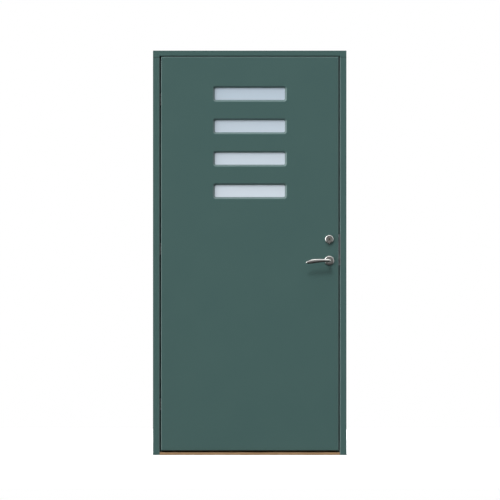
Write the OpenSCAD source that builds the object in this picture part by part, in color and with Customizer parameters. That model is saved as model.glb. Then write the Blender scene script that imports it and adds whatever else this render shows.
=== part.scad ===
// A front door set: a flush painted leaf with four slot windows, hung in its rebated frame
// on concealed hinges, with an oak threshold, a mortise lock and a lever handle.
// X runs across the opening, with the lock on the right. The outside faces -Y. Z is up.
// The origin is the middle of the frame's underside.

/* [Frame] */
// Overall width of the frame
frame_w = 995; // [890:1:1190]
// Overall height of the frame
frame_h = 2080; // [1980:1:2280]
// Depth of the frame, from outside face to inside face
frame_d = 115; // [105:1:160]
// Thickness of the jambs beside the leaf
jamb_t = 34; // [32:0.5:45]
// Thickness of the head above the leaf
head_t = 28.4; // [26:0.2:40]
// Height of the head's ends where they rest on the jambs
head_end_t = 34; // [30:0.5:44]
// How far the stop stands out past the leaf's edge
stop_w = 18; // [15:0.5:24]
// Space between the back of the leaf and the face of the stop
seal_space = 4; // [3.5:0.1:6]
// Small chamfer along the front edges of the frame and the leaf
edge_chamfer = 3.2; // [1:0.1:3.5]

/* [Threshold] */
// Height of the threshold's front nose
nose_h = 12.5; // [10:0.5:20]
// Height of the nose where it meets the stop
nose_back_h = 15.5; // [12:0.5:22]
// Height of the threshold's stop behind the leaf
sill_stop_h = 38; // [34:0.5:50]
// Width of the aluminium wear strip on the stop
strip_w = 30; // [20:1:40]
// Thickness of the wear strip
strip_t = 2; // [1:0.1:3]

/* [Leaf] */
// Thickness of the leaf
leaf_t = 62; // [58:1:70]
// Thickness of each of its two skins
skin_t = 4; // [3:0.1:4]
// Gap between the leaf and the hinge jamb
gap_hinge = 7.7; // [6:0.1:8.5]
// Gap between the leaf and the lock jamb
gap_lock = 6.2; // [5:0.1:8]
// Gap above the leaf
gap_top = 3; // [2:0.1:6]
// Gap below the leaf
gap_bottom = 10.1; // [5:0.1:12]
// Width of the stile on the hinge side
hinge_stile_w = 60; // [45:1:90]
// Width of the stile on the lock side
lock_stile_w = 110; // [100:1:140]
// Height of the top rail
top_rail_h = 90; // [60:1:110]
// Height of the bottom rail
bottom_rail_h = 150; // [60:1:300]
// Width of the solid wood round each window
window_block_w = 45; // [25:1:60]

/* [Windows] */
// Distance between the centres of neighbouring windows
window_pitch = 166.7; // [140:0.1:180]
// Distance from the frame's top down to the top window's centre
window_drop = 222.2; // [190:0.1:320]
// Width of a window where it opens in the face
window_w = 380; // [200:1:480]
// Height of a window where it opens in the face
window_h = 81; // [70:1:90]
// Corner radius of a window where it opens in the face
window_r = 15; // [13:0.5:25]
// How far the sides slope in towards the glass
window_slope = 7; // [4:0.5:9]
// Depth over which the sides slope
slope_d = 9; // [5:0.5:11]
// Flat rim of a window frame outside its slope
rim_w = 1.2; // [0.8:0.1:3]
// Depth of the glass behind the outside face
glass_depth = 13; // [11:0.5:16]
// Thickness of one pane
pane_t = 4; // [3:1:6]
// Space between the two panes
pane_space = 20; // [12:1:24]
// Clearance round the edge of the glass
glass_gap = 1.2; // [0.6:0.1:2]
// Width of the spacer bar between the panes
spacer_w = 7; // [5:0.5:9]
// Thickness of the sealing tape on each side of the glass
tape_t = 1; // [0.5:0.1:2]

/* [Hinges] */
// Height of the lowest hinge above the floor
hinge_low = 260; // [200:5:320]
// Distance from the frame's top down to the highest hinge
hinge_drop = 250; // [210:5:320]
// Height of the middle hinge between the other two, as a share of their distance
hinge_share = 0.51; // [0.45:0.01:0.75]
// Height of a hinge's face plates
plate_h = 166; // [150:1:200]
// Thickness of a face plate
plate_t = 3; // [2:0.5:4]
// Height of a hinge's cup
cup_h = 92; // [84:1:110]
// Depth of a cup behind the jamb's or the leaf's edge
cup_depth = 21; // [20:0.5:24]
// Wood left between the outside face and a cup
cup_front = 4; // [4:0.1:5]
// Width of a cup
cup_w = 46; // [45.5:0.5:49]
// Wall of a cup
cup_wall = 2.5; // [2:0.1:2.8]
// Distance of a cup pivot from the middle of the gap
pivot_x = 12.5; // [12.3:0.1:12.8]
// Depth of a cup pivot behind the outside face
pivot_y = 11.5; // [11.3:0.1:11.8]
// Distance of the leaf's turning centre in front of the outside face
swing_front = 3.5; // [3.3:0.1:3.8]
// Length of an arm's far half, as a multiple of its near half
far_ratio = 1.15; // [1.13:0.01:1.17]
// Half the width of an arm
arm_half_w = 2.6; // [2:0.1:2.7]
// Radius of the eyes round an arm's pivots
eye_r = 4; // [3.4:0.1:4.1]
// Radius of the hinge pins
hinge_pin_r = 2; // [1.6:0.1:2.2]
// Radial clearance of a pin in its turning bore
pin_clearance = 0.05; // [0.02:0.01:0.1]
// Sideways clearance of a sliding pin in its groove
groove_clearance = 0.3; // [0.2:0.05:0.4]
// Clearance above and below a moving arm
arm_clearance = 0.4; // [0.3:0.1:0.6]
// Height of the leaf's arm
leaf_arm_h = 22; // [18:1:24]
// Height of each of the frame's two arms
frame_arm_h = 11; // [9:0.5:12]
// Height of the rib between two arms
rib_h = 7; // [6.6:0.1:8]
// How far a pin reaches into a rib
pin_seat = 2.8; // [2.2:0.1:3]
// Opening angle that the grooves allow
open_angle = 100; // [60:1:100]

/* [Lock] */
// Height of the handle's centre above the floor
handle_z = 1000; // [900:1:1150]
// Distance of the handle's centre from the leaf's edge
backset = 48; // [45:0.5:60]
// Distance from the handle's centre up to the cylinder's centre
cylinder_rise = 110; // [105:1:115]
// Height of the lock case
case_h = 186; // [180:1:200]
// Depth of the lock case behind its front plate
case_d = 76; // [74:1:92]
// Thickness of the lock case
case_t = 15; // [14:0.5:17]
// Wall of the lock case
case_wall = 1.5; // [1:0.1:2]
// Height of the lock's front plate
front_h = 235; // [220:1:260]
// Width of the front plate
front_w = 22; // [20:1:24]
// Thickness of the front plate
front_t = 3; // [2:0.5:3.5]
// How far the latch stands out of the front plate
latch_throw = 12.5; // [11:0.5:13]
// Height of the latch's centre above the handle's centre
latch_rise = 18; // [17:0.5:22]
// Height of the latch's head
latch_h = 24; // [20:1:26]
// Travel of the dead bolt
bolt_throw = 20; // [15:0.5:22]
// Distance of the dead bolt's centre below the cylinder's centre
bolt_drop = 21; // [20:0.5:24]
// Height of the dead bolt
bolt_h = 26; // [20:1:28]
// Thickness of both bolts
bolt_t = 11; // [9:0.5:11.5]
// Height of the strike plate
strike_h = 160; // [150:1:190]
// Height of the strike plate's middle above the handle's centre
strike_rise = 56; // [50:1:62]
// Thickness of the strike plate
strike_t = 3; // [2:0.5:4]
// Width of the strike plate's leg that lies on the stop
strike_leg = 8; // [6:0.5:9]

/* [Handle] */
// Radius of the round roses
rose_r = 25; // [23:0.5:28]
// Thickness of a rose
rose_t = 8; // [6:0.5:12]
// Radius of the lever's neck
neck_r = 8; // [7:0.5:9]
// Distance of the lever's axis from the leaf's face
lever_reach = 48; // [42:1:58]
// Length of the lever from its centre to its tip
lever_l = 121; // [110:1:135]
// Half the thickness of the grip
grip_half_t = 5.5; // [4.5:0.5:7]
// Side of the square spindle
spindle_s = 8; // [7:1:9]
// Radius of the cylinder's ring
ring_r = 22; // [20:0.5:24]
// How far the ring's point reaches below the cylinder's centre
ring_point = 26; // [24:0.5:28]
// Thickness of the ring
ring_t = 12; // [9:0.5:16]
// Radius of the cylinder's face
cylinder_r = 15.5; // [14:0.5:16]
// Radius of the turning plug
plug_r = 6.5; // [6:0.5:7.5]
// Length of the thumbturn's grip
thumb_l = 36; // [30:1:42]
// Running gap between a turning piece and a fixed one
turn_gap = 0.3; // [0.2:0.05:0.4]

/* [Fixings] */
// Distance of the outer wall fixing sleeves from the frame's two ends
sleeve_end = 120; // [80:5:150]
// Bore radius of a sleeve
sleeve_bore_r = 5; // [4:0.5:5.5]
// Outer radius of a sleeve
sleeve_r = 8; // [7:0.5:9]
// Depth of the recess that a sleeve's cap fills
cap_t = 2; // [1.5:0.5:3]
// Radius of a sleeve's cap
cap_r = 10; // [9.5:0.5:12]
// Distance between the wear strip's screws
strip_screw_pitch = 140; // [100:5:140]
// Distance of a hinge screw from the middle of its plate
cup_screw_y = 9; // [7:0.5:12]
// Distance of the lower front corner screws behind the outside face
corner_screw_y = 30; // [25:1:35]
// Length of the screws at the frame's corners
corner_screw_l = 85; // [70:1:90]
// Length of the hinges' screws
cup_screw_l = 30; // [20:1:35]
// Length of the strike plate's screws
strike_screw_l = 28; // [20:1:30]
// Length of the lock's screws
front_screw_l = 26; // [15:1:30]
// Width of the groove that holds a seal
kerf_w = 3; // [2.5:0.1:3.5]
// Depth of the groove that holds a seal
kerf_d = 7; // [6:0.5:9]
// Distance of the seal's middle from the rebate
seal_x = 12.5; // [12:0.1:13]
// Half the width of the seal's bulb
seal_half_w = 3.4; // [3:0.1:3.8]
// Wall of the seal's bulb
seal_wall = 1; // [0.8:0.1:1.4]
// Gap between a seal and the closed leaf
seal_gap = 0.3; // [0.2:0.05:0.5]

/* [Hidden] */
$fn = 48;
cut = 1;

paint = "#465F5B";
oak = "#7C5D36";
pine = "#D9B98A";
steel = "#B9BBB8";
zinc = "#9A9C9B";
rubber = "#1E2120";
glass_tint = "#BFCBD4";
foam = "#E9E4D4";
aluminium = "#A9ADAE";

y_out = -frame_d / 2;
y_in = frame_d / 2;
y_leaf = y_out + leaf_t;
y_stop = y_leaf + seal_space;
x_jamb = frame_w / 2 - jamb_t;
x_stop = x_jamb - stop_w;
z_soffit = frame_h - head_t;
z_head_stop = z_soffit - stop_w;
z_jamb_top = frame_h - head_end_t;

leaf_l = -x_jamb + gap_hinge;
leaf_r = x_jamb - gap_lock;
leaf_b = nose_h + gap_bottom;
leaf_top = z_soffit - gap_top;
leaf_x = (leaf_l + leaf_r) / 2;
y_core_out = y_out + skin_t;
y_core_in = y_leaf - skin_t;
y_mid = (y_out + y_leaf) / 2;

window_count = 4;
window_z = [for (i = [0:window_count - 1]) frame_h - window_drop - i * window_pitch];
sight_w = window_w - 2 * window_slope;
sight_h = window_h - 2 * window_slope;
sight_r = window_r - window_slope;
rim_out_w = window_w + 2 * rim_w;
rim_out_h = window_h + 2 * rim_w;
rim_out_r = window_r + rim_w;
glass_w = rim_out_w - 2 * glass_gap;
glass_h = rim_out_h - 2 * glass_gap;
glass_r = rim_out_r - glass_gap;
y_pane_out = y_out + glass_depth;
y_pane_in = y_pane_out + 2 * pane_t + pane_space;
block_w = rim_out_w + 2 * window_block_w;
block_b = window_z[window_count - 1] - rim_out_h / 2 - window_block_w;
block_top = window_z[0] + rim_out_h / 2 + window_block_w;

hinge_heights = [for (share = [0, hinge_share, 1])
    hinge_low + share * (frame_h - hinge_drop - hinge_low)];
sleeve_heights = [sleeve_end, (hinge_heights[0] + hinge_heights[1]) / 2,
    (hinge_heights[1] + hinge_heights[2]) / 2, frame_h - sleeve_end];

half_gap = gap_hinge / 2;
x_gap = -x_jamb + half_gap;
arm_rise = pivot_y + swing_front;
arm_near = sqrt(pow(pivot_x, 2) + pow(arm_rise, 2));
arm_angle = atan2(arm_rise, pivot_x);
centre_y = pivot_y + arm_rise;
far_x = far_ratio * pivot_x;
far_y = centre_y + far_ratio * arm_rise;
groove_x = (1 + far_ratio) * pivot_x;
groove_y = pivot_y + far_ratio * arm_rise;
groove_spare = 1;
rib_z = leaf_arm_h / 2 + arm_clearance;
frame_arm_z = rib_z + rib_h + arm_clearance;
end_z = frame_arm_z + frame_arm_h + arm_clearance;
pocket_d = cup_depth - cup_wall;
pocket_r = 4;
screw_z = (plate_h + cup_h) / 4;

handle_x = leaf_r - backset;
cylinder_z = handle_z + cylinder_rise;
case_b = handle_z + cylinder_rise / 2 - case_h / 2;
case_top = case_b + case_h;
case_r = leaf_r - front_t;
front_r = front_w / 2 - 1;
latch_z = handle_z + latch_rise;
bolt_z = cylinder_z - bolt_drop;
strike_z = handle_z + strike_rise;
hub_r = 10;
hub_hole_r = hub_r + turn_gap;
bolt_gap = 0.4;
grip_y = y_out - lever_reach;
socket_back = 10;
finger_w = 6;
finger_l = hub_r + 8;
tail_t = 6;
tail_h = 11;
tail_gap = 1;
cam_l = 18;
cam_hub_r = 7.4;
cam_t = 5;
cam_w = 5;
cam_reach = 16.5;
stem_r = 5;
face_step = 3;

module box(low, high) {
    translate(low) cube(high - low);
}

// Extrudes a shape drawn in X and Z from one depth to another
module along_y(y0, y1) {
    translate([0, y1, 0]) rotate([90, 0, 0]) linear_extrude(y1 - y0) children();
}

// Extrudes a shape drawn in Y and Z from one place across to another
module along_x(x0, x1) {
    translate([x0, 0, 0]) rotate([90, 0, 90]) linear_extrude(x1 - x0) children();
}

module rod_y(x, z, r, y0, y1) {
    translate([x, y1, z]) rotate([90, 0, 0]) cylinder(h = y1 - y0, r = r);
}

module rod_x(y, z, r, x0, x1) {
    translate([x0, y, z]) rotate([0, 90, 0]) cylinder(h = x1 - x0, r = r);
}

module rounded_rect(w, h, r) {
    square([w, h - 2 * r], center = true);
    square([w - 2 * r, h], center = true);
    for (x = [-1, 1], y = [-1, 1]) translate([x * (w / 2 - r), y * (h / 2 - r)]) circle(r);
}

// Places its children at every window
module at_windows() {
    for (z = window_z) translate([leaf_x, 0, z]) children();
}

// A countersunk wood screw along +X with its head's face at the origin
module screw(length, r = 2, head_r = 4) {
    rotate([0, 90, 0]) {
        cylinder(h = head_r - r, r1 = head_r, r2 = r);
        cylinder(h = length - r, r = r);
        translate([0, 0, length - r]) cylinder(h = r, r1 = r, r2 = 0.3);
    }
}

// Section of a jamb, with x measured from the frame's outer side
module jamb_section() {
    difference() {
        polygon([[0, y_out], [jamb_t - edge_chamfer, y_out], [jamb_t, y_out + edge_chamfer],
            [jamb_t, y_stop], [jamb_t + stop_w, y_stop],
            [jamb_t + stop_w, y_in - edge_chamfer], [jamb_t + stop_w - edge_chamfer, y_in],
            [0, y_in]]);
        translate([jamb_t + seal_x - kerf_w / 2, y_stop - cut]) square([kerf_w, kerf_d + cut]);
    }
}

// Bulb seal on its barbed foot, standing out of a groove towards -Y
module seal_section() {
    bulb_r = seal_half_w;
    front = seal_space - seal_gap;
    difference() {
        union() {
            intersection() {
                translate([0, -front + bulb_r]) circle(bulb_r);
                translate([-bulb_r, -front]) square([2 * bulb_r, front]);
            }
            translate([-0.8, -0.6]) square([1.6, kerf_d - 0.4]);
            for (d = [1.5, 3.5, 5.5])
                translate([0, d]) polygon([[-kerf_w / 2, -0.5], [kerf_w / 2, -0.5], [0.6, 0.9],
                    [-0.6, 0.9]]);
        }
        intersection() {
            translate([0, -front + bulb_r]) circle(bulb_r - seal_wall);
            translate([-bulb_r, -front]) square([2 * bulb_r, front - seal_wall]);
        }
    }
}

module sleeve_bores(x0, x1, cap_side) {
    for (z = sleeve_heights) {
        rod_x(y_mid, z, sleeve_r, x0 - cut, x1 + cut);
        rod_x(y_mid, z, cap_r, cap_side < 0 ? x0 - cut : x1 - cap_t,
            cap_side < 0 ? x0 + cap_t : x1 + cut);
    }
}

module corner_screw_places() {
    inset = jamb_t / 2;
    for (s = [-1, 1]) {
        for (y = [y_out + 22, y_in - 18])
            translate([s * (frame_w / 2 - inset), y, frame_h]) rotate([0, 90, 0]) children();
        for (y = [y_out + corner_screw_y, y_in - 20])
            translate([s * frame_w / 2, y, y < 0 ? nose_h / 2 : sill_stop_h / 2])
                rotate([0, 0, s < 0 ? 0 : 180]) children();
    }
}

module hinge_jamb() {
    color(paint) difference() {
        translate([-frame_w / 2, 0, 0]) linear_extrude(z_jamb_top) jamb_section();
        for (z = hinge_heights) translate([x_gap, y_out, z]) cup_block(-1);
        sleeve_bores(-frame_w / 2, -x_jamb, 1);
        corner_screw_places() screw(corner_screw_l, 2.5, 5);
        frame_cup_screws();
    }
}

module lock_jamb() {
    color(paint) difference() {
        translate([frame_w / 2, 0, 0]) mirror([1, 0, 0]) linear_extrude(z_jamb_top)
            jamb_section();
        strike_solid();
        strike_pockets(x_jamb + strike_t, x_jamb + bolt_throw + 2);
        sleeve_bores(x_jamb, frame_w / 2, -1);
        corner_screw_places() screw(corner_screw_l, 2.5, 5);
        strike_screws();
    }
}

module head_jamb() {
    kerf_z = z_soffit - seal_x;
    color(paint) difference() {
        box([-frame_w / 2, y_out, z_head_stop], [frame_w / 2, y_in, frame_h]);
        box([-x_jamb, y_out - cut, z_head_stop - cut], [x_jamb, y_stop, z_soffit]);
        along_x(-x_jamb, x_jamb) polygon([[y_out - cut, z_soffit - cut],
            [y_out + edge_chamfer + cut, z_soffit - cut],
            [y_out - cut, z_soffit + edge_chamfer + cut]]);
        for (s = [-1, 1]) {
            box([s < 0 ? -frame_w / 2 - cut : x_jamb, y_out - cut, z_head_stop - cut],
                [s < 0 ? -x_jamb : frame_w / 2 + cut, y_in + cut, z_jamb_top]);
            box([s < 0 ? -x_jamb - cut : x_stop, y_stop - cut, z_head_stop - cut],
                [s < 0 ? -x_stop : x_jamb + cut, y_in + cut, z_jamb_top]);
        }
        box([-x_stop - cut, y_stop - cut, kerf_z - kerf_w / 2],
            [x_stop + cut, y_stop + kerf_d, kerf_z + kerf_w / 2]);
        corner_screw_places() screw(corner_screw_l, 2.5, 5);
    }
}

// Section of the threshold in Y and Z
module threshold_section() {
    round_r = 4;
    kerf_z = sill_stop_h - seal_x + 4;
    difference() {
        union() {
            polygon([[y_out, 0], [y_stop + cut, 0], [y_stop + cut, nose_back_h],
                [y_stop, nose_back_h],
                [y_out + round_r, nose_h], [y_out, nose_h - round_r]]);
            intersection() {
                translate([y_out + round_r, nose_h - round_r]) circle(round_r);
                translate([y_out, 0]) square([2 * round_r, nose_h]);
            }
            polygon([[y_stop, 0], [y_in, 0], [y_in, sill_stop_h - 4], [y_in - 4, sill_stop_h],
                [y_stop + 2, sill_stop_h], [y_stop, sill_stop_h - 2]]);
        }
        translate([y_stop - cut, kerf_z - kerf_w / 2]) square([kerf_d + cut, kerf_w]);
        translate([y_in - 10 - strip_w, sill_stop_h - strip_t]) square([strip_w, strip_t + cut]);
    }
}

module threshold() {
    color(oak) difference() {
        along_x(-x_jamb, x_jamb) threshold_section();
        for (s = [-1, 1])
            box([s < 0 ? -x_jamb - cut : x_stop, y_stop, -cut],
                [s < 0 ? -x_stop : x_jamb + cut, y_in + cut, sill_stop_h + cut]);
        corner_screw_places() screw(corner_screw_l, 2.5, 5);
        threshold_strip_screws();
    }
}

module threshold_strip_screws() {
    for (i = [-3:3])
        translate([i * strip_screw_pitch, y_in - 10 - strip_w / 2, sill_stop_h]) rotate([0, 90, 0])
            screw(18, 1.6, 3.2);
}

// Ribbed aluminium wear strip let into the top of the threshold, with its screws
module threshold_strip() {
    color(aluminium) {
        difference() {
            box([-x_stop, y_in - 10 - strip_w, sill_stop_h - strip_t],
                [x_stop, y_in - 10, sill_stop_h]);
            for (i = [-3:3]) if (i != 0)
                box([-x_stop - cut, y_in - 10 - strip_w / 2 + i * 3.6 - 0.7, sill_stop_h - 0.5],
                    [x_stop + cut, y_in - 10 - strip_w / 2 + i * 3.6 + 0.7, sill_stop_h + cut]);
            threshold_strip_screws();
        }
        threshold_strip_screws();
    }
}

module frame_seal() {
    kerf_z = z_soffit - seal_x;
    side_x = x_jamb - seal_x;
    color(rubber) {
        for (s = [-1, 1]) translate([s * side_x, y_stop, sill_stop_h])
            linear_extrude(kerf_z - sill_stop_h + seal_half_w) seal_section();
        difference() {
            along_x(-side_x, side_x) translate([y_stop, kerf_z]) rotate(-90) mirror([1, 0, 0])
                seal_section();
            for (s = [-1, 1]) {
                translate([s * side_x, y_stop, kerf_z - stop_w]) linear_extrude(2 * stop_w)
                    translate([-seal_half_w, -seal_space])
                        square([2 * seal_half_w, seal_space + kerf_d]);
                translate([s * (x_stop + stop_w), y_stop + stop_w, kerf_z])
                    cube(2 * stop_w, center = true);
            }
        }
    }
}

module threshold_seal() {
    kerf_z = sill_stop_h - seal_x + 4;
    color(rubber) along_x(-x_stop, x_stop) translate([y_stop, kerf_z]) rotate(-90)
        mirror([1, 0, 0]) seal_section();
}

// The outline that the strike plate fills, cut out of the jamb
module strike_solid() {
    z0 = strike_z - strike_h / 2;
    box([x_jamb, y_out, z0], [x_jamb + strike_t, y_stop + strike_t, z0 + strike_h]);
    box([x_jamb - strike_leg, y_stop, z0],
        [x_jamb + strike_t, y_stop + strike_t, z0 + strike_h]);
}

// Openings for the two bolts
module strike_pockets(x0, x1) {
    y0 = y_mid - bolt_t / 2 - 1.5;
    y1 = y_mid + bolt_t / 2 + 1.5;
    box([x0, y0, latch_z - latch_h / 2 - 2], [x1, y1, latch_z + latch_h / 2 + 2]);
    box([x0, y0, bolt_z - bolt_h / 2 - 2], [x1, y1, bolt_z + bolt_h / 2 + 2]);
}

module strike_screw_places() {
    for (z = [strike_z - strike_h / 2 + 10, (latch_z + bolt_z) / 2,
            strike_z + strike_h / 2 - 22, strike_z + strike_h / 2 - 10])
        translate([x_jamb, y_mid, z]) children();
}

module strike_plate() {
    color(steel) difference() {
        strike_solid();
        strike_pockets(x_jamb - cut, x_jamb + strike_t + cut);
        strike_screw_places() screw(strike_screw_l, 2, 4);
    }
}

module strike_screws() {
    color(zinc) strike_screw_places() screw(strike_screw_l, 2, 4);
}

module fixing_sleeves() {
    color(zinc) difference() {
        for (s = [-1, 1], z = sleeve_heights)
            rod_x(y_mid, z, sleeve_r, s < 0 ? -frame_w / 2 : x_jamb + cap_t,
                s < 0 ? -x_jamb - cap_t : frame_w / 2);
        for (z = sleeve_heights)
            rod_x(y_mid, z, sleeve_bore_r, -frame_w / 2 - cut, frame_w / 2 + cut);
    }
}

// Press-in caps, hollow at the back where they cover a sleeve's bore
module sleeve_caps() {
    hollow_r = sleeve_bore_r + 1.5;
    hollow_d = cap_t / 2;
    color(paint) difference() {
        for (s = [-1, 1], z = sleeve_heights)
            rod_x(y_mid, z, cap_r, s < 0 ? -x_jamb - cap_t : x_jamb,
                s < 0 ? -x_jamb : x_jamb + cap_t);
        for (s = [-1, 1], z = sleeve_heights)
            rod_x(y_mid, z, hollow_r, s < 0 ? -x_jamb - cap_t - cut : x_jamb + cap_t - hollow_d,
                s < 0 ? -x_jamb - cap_t + hollow_d : x_jamb + cap_t + cut);
    }
}

module corner_screws() {
    color(zinc) corner_screw_places() screw(corner_screw_l, 2.5, 5);
}

// Outer form of a hinge cup with its face plate; side is -1 in the jamb and 1 in the leaf
module cup_block(side) {
    x_face = side < 0 ? -half_gap : half_gap;
    back = side < 0 ? x_face - cup_depth : x_face + cup_depth;
    rear = side < 0 ? x_face - plate_t : x_face + plate_t;
    corner = 6;
    y_c = cup_front + cup_w / 2;
    along_x(min(x_face, rear), max(x_face, rear)) translate([y_c, 0])
        rounded_rect(cup_w, plate_h, corner);
    along_x(min(x_face, back), max(x_face, back)) translate([y_c, 0])
        rounded_rect(cup_w, cup_h, corner);
}

// Space that an arm moves in, open towards the gap
module cup_pocket(side, z0, z1) {
    y0 = cup_front + cup_wall;
    y1 = cup_front + cup_w - cup_wall;
    translate([0, 0, z0]) linear_extrude(z1 - z0) mirror([side < 0 ? 1 : 0, 0]) {
        translate([half_gap - cut, y0]) square([pocket_d - pocket_r + cut, y1 - y0]);
        translate([half_gap, y0 + pocket_r])
            square([pocket_d, y1 - y0 - 2 * pocket_r]);
        for (y = [y0 + pocket_r, y1 - pocket_r])
            translate([half_gap + pocket_d - pocket_r, y]) circle(pocket_r);
    }
}

// Curved groove that guides the far end of the other side's arm
module cup_groove(side, z0, z1) {
    r = hinge_pin_r + groove_clearance;
    spare = groove_spare + asin(r / arm_near);
    mirror([side < 0 ? 0 : 1, 0, 0]) translate([-groove_x, groove_y, z0])
        rotate([0, 0, arm_angle - open_angle - spare])
            rotate_extrude(angle = open_angle + 2 * spare)
                translate([arm_near - r, 0]) square([2 * r, z1 - z0]);
}

module cup_screw_places(side) {
    for (z = hinge_heights, s = [-1, 1], y = [-cup_screw_y, cup_screw_y])
        translate([x_gap + side * half_gap, y_out + cup_front + cup_w / 2 + y, z + s * screw_z])
            rotate([0, 0, side < 0 ? 180 : 0]) children();
}

module cup(side, z) {
    pivot_levels = side < 0 ? [[rib_z + rib_h - pin_seat, end_z + pin_seat]] : [[-rib_z - pin_seat,
        rib_z + pin_seat]];
    color(steel) difference() {
        translate([x_gap, y_out, z]) difference() {
            cup_block(side);
            cup_pocket(side, -rib_z, rib_z);
            for (s = [-1, 1]) {
                cup_pocket(side, s < 0 ? -end_z : rib_z + rib_h, s < 0 ? -rib_z - rib_h : end_z);
                if (side < 0)
                    cup_groove(side, s < 0 ? -rib_z - pin_seat : rib_z - cut,
                        s < 0 ? -rib_z + cut : rib_z + pin_seat);
                else {
                    cup_groove(side, s < 0 ? -rib_z - rib_h - cut : rib_z + rib_h - pin_seat,
                        s < 0 ? -rib_z - rib_h + pin_seat : rib_z + rib_h + cut);
                    cup_groove(side, s < 0 ? -end_z - pin_seat : end_z - cut,
                        s < 0 ? -end_z + cut : end_z + pin_seat);
                }
            }
            for (s = side < 0 ? [-1, 1] : [1], level = pivot_levels)
                translate([side * pivot_x, pivot_y, s < 0 ? -level[1] : level[0]])
                    cylinder(h = level[1] - level[0], r = hinge_pin_r);
        }
        cup_screw_places(side) screw(cup_screw_l, 2, 4);
    }
}

module frame_cups() {
    for (z = hinge_heights) cup(-1, z);
}

module leaf_cups() {
    for (z = hinge_heights) cup(1, z);
}

module frame_cup_screws() {
    color(zinc) cup_screw_places(-1) screw(cup_screw_l, 2, 4);
}

module leaf_cup_screws() {
    color(zinc) cup_screw_places(1) screw(cup_screw_l, 2, 4);
}

// Pivot pins that hold the frame's arms in the frame cups
module frame_cup_pins() {
    z0 = rib_z + rib_h - pin_seat;
    z1 = end_z + pin_seat;
    color(zinc) for (z = hinge_heights, s = [-1, 1])
        translate([x_gap - pivot_x, y_out + pivot_y, z + (s < 0 ? -z1 : z0)])
            cylinder(h = z1 - z0, r = hinge_pin_r);
}

// Pivot pins that hold the leaf's arms in the leaf cups
module leaf_cup_pins() {
    color(zinc) for (z = hinge_heights)
        translate([x_gap + pivot_x, y_out + pivot_y, z - rib_z - pin_seat])
            cylinder(h = 2 * (rib_z + pin_seat), r = hinge_pin_r);
}

// One straight stretch of an arm
module arm_bar(a, b) {
    d = b - a;
    translate(a) rotate(atan2(d[1], d[0])) translate([0, -arm_half_w])
        square([norm(d), 2 * arm_half_w]);
}

// Outline of the leaf's arm at rest, hooked so that it clears both cups' front edges
module arm_outline() {
    pivot = [pivot_x, pivot_y];
    centre = [0, centre_y];
    far = [-far_x, far_y];
    outer_knee = [pivot_x + 1.1, centre_y - 4];
    mid_knee = [pivot_x - 4.5, centre_y + 0.5];
    inner_knee = [1.6, centre_y + 11.5];
    far_knee = [-2.5, centre_y + 14.3];
    line = [pivot, outer_knee, mid_knee, centre, inner_knee, far_knee, far];
    for (i = [1:len(line) - 1]) arm_bar(line[i - 1], line[i]);
    arm_bar(outer_knee, inner_knee);
    polygon([outer_knee, mid_knee, centre, inner_knee]);
    for (p = [outer_knee, mid_knee, inner_knee, far_knee])
        translate(p) circle(arm_half_w + 0.15);
    for (p = [pivot, centre]) translate(p) circle(eye_r);
    translate(far) circle(hinge_pin_r + 1.2);
}

// Arms that turn in the leaf cups and slide in the frame cups, with their sliding pins
module leaf_arms() {
    slide_l = 2 * (rib_z + pin_seat - 0.4);
    color(steel) for (z = hinge_heights) translate([x_gap, y_out, z]) difference() {
        union() {
            translate([0, 0, -leaf_arm_h / 2]) linear_extrude(leaf_arm_h) arm_outline();
            translate([-far_x, far_y, -slide_l / 2]) cylinder(h = slide_l, r = hinge_pin_r);
        }
        translate([pivot_x, pivot_y, -leaf_arm_h]) cylinder(h = 2 * leaf_arm_h,
            r = hinge_pin_r + pin_clearance);
        translate([0, centre_y, -leaf_arm_h]) cylinder(h = 2 * leaf_arm_h,
            r = hinge_pin_r + pin_clearance);
    }
}

// Arms that turn in the frame cups and slide in the leaf cups, joined by the centre pin
module frame_arms() {
    z0 = frame_arm_z;
    z1 = frame_arm_z + frame_arm_h;
    reach = arm_clearance + pin_seat - 0.4;
    color(steel) for (z = hinge_heights) translate([x_gap, y_out, z]) {
        for (s = [-1, 1]) difference() {
            union() {
                translate([0, 0, s < 0 ? -z1 : z0]) mirror([1, 0, 0])
                    linear_extrude(frame_arm_h) arm_outline();
                translate([far_x, far_y, (s < 0 ? -z1 : z0) - reach])
                    cylinder(h = frame_arm_h + 2 * reach, r = hinge_pin_r);
            }
            translate([-pivot_x, pivot_y, (s < 0 ? -z1 : z0) - cut])
                cylinder(h = frame_arm_h + 2 * cut, r = hinge_pin_r + pin_clearance);
        }
        translate([0, centre_y, -z1]) cylinder(h = 2 * z1, r = hinge_pin_r);
    }
}

// Holes through the leaf for the handle, the cylinder and the bolts that tie their roses
module lock_holes(y0, y1) {
    rod_y(handle_x, handle_z, hub_hole_r + 0.7, y0, y1);
    rod_y(handle_x, cylinder_z, cylinder_r + 0.5, y0, y1);
    through_bolt_places() rod_y(0, 0, 3, y0, y1);
}

module through_bolt_places() {
    for (s = [-1, 1]) {
        translate([handle_x + s * 18.5, 0, handle_z]) children();
        translate([handle_x + s * 18.7, 0, cylinder_z]) children();
    }
}

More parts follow.
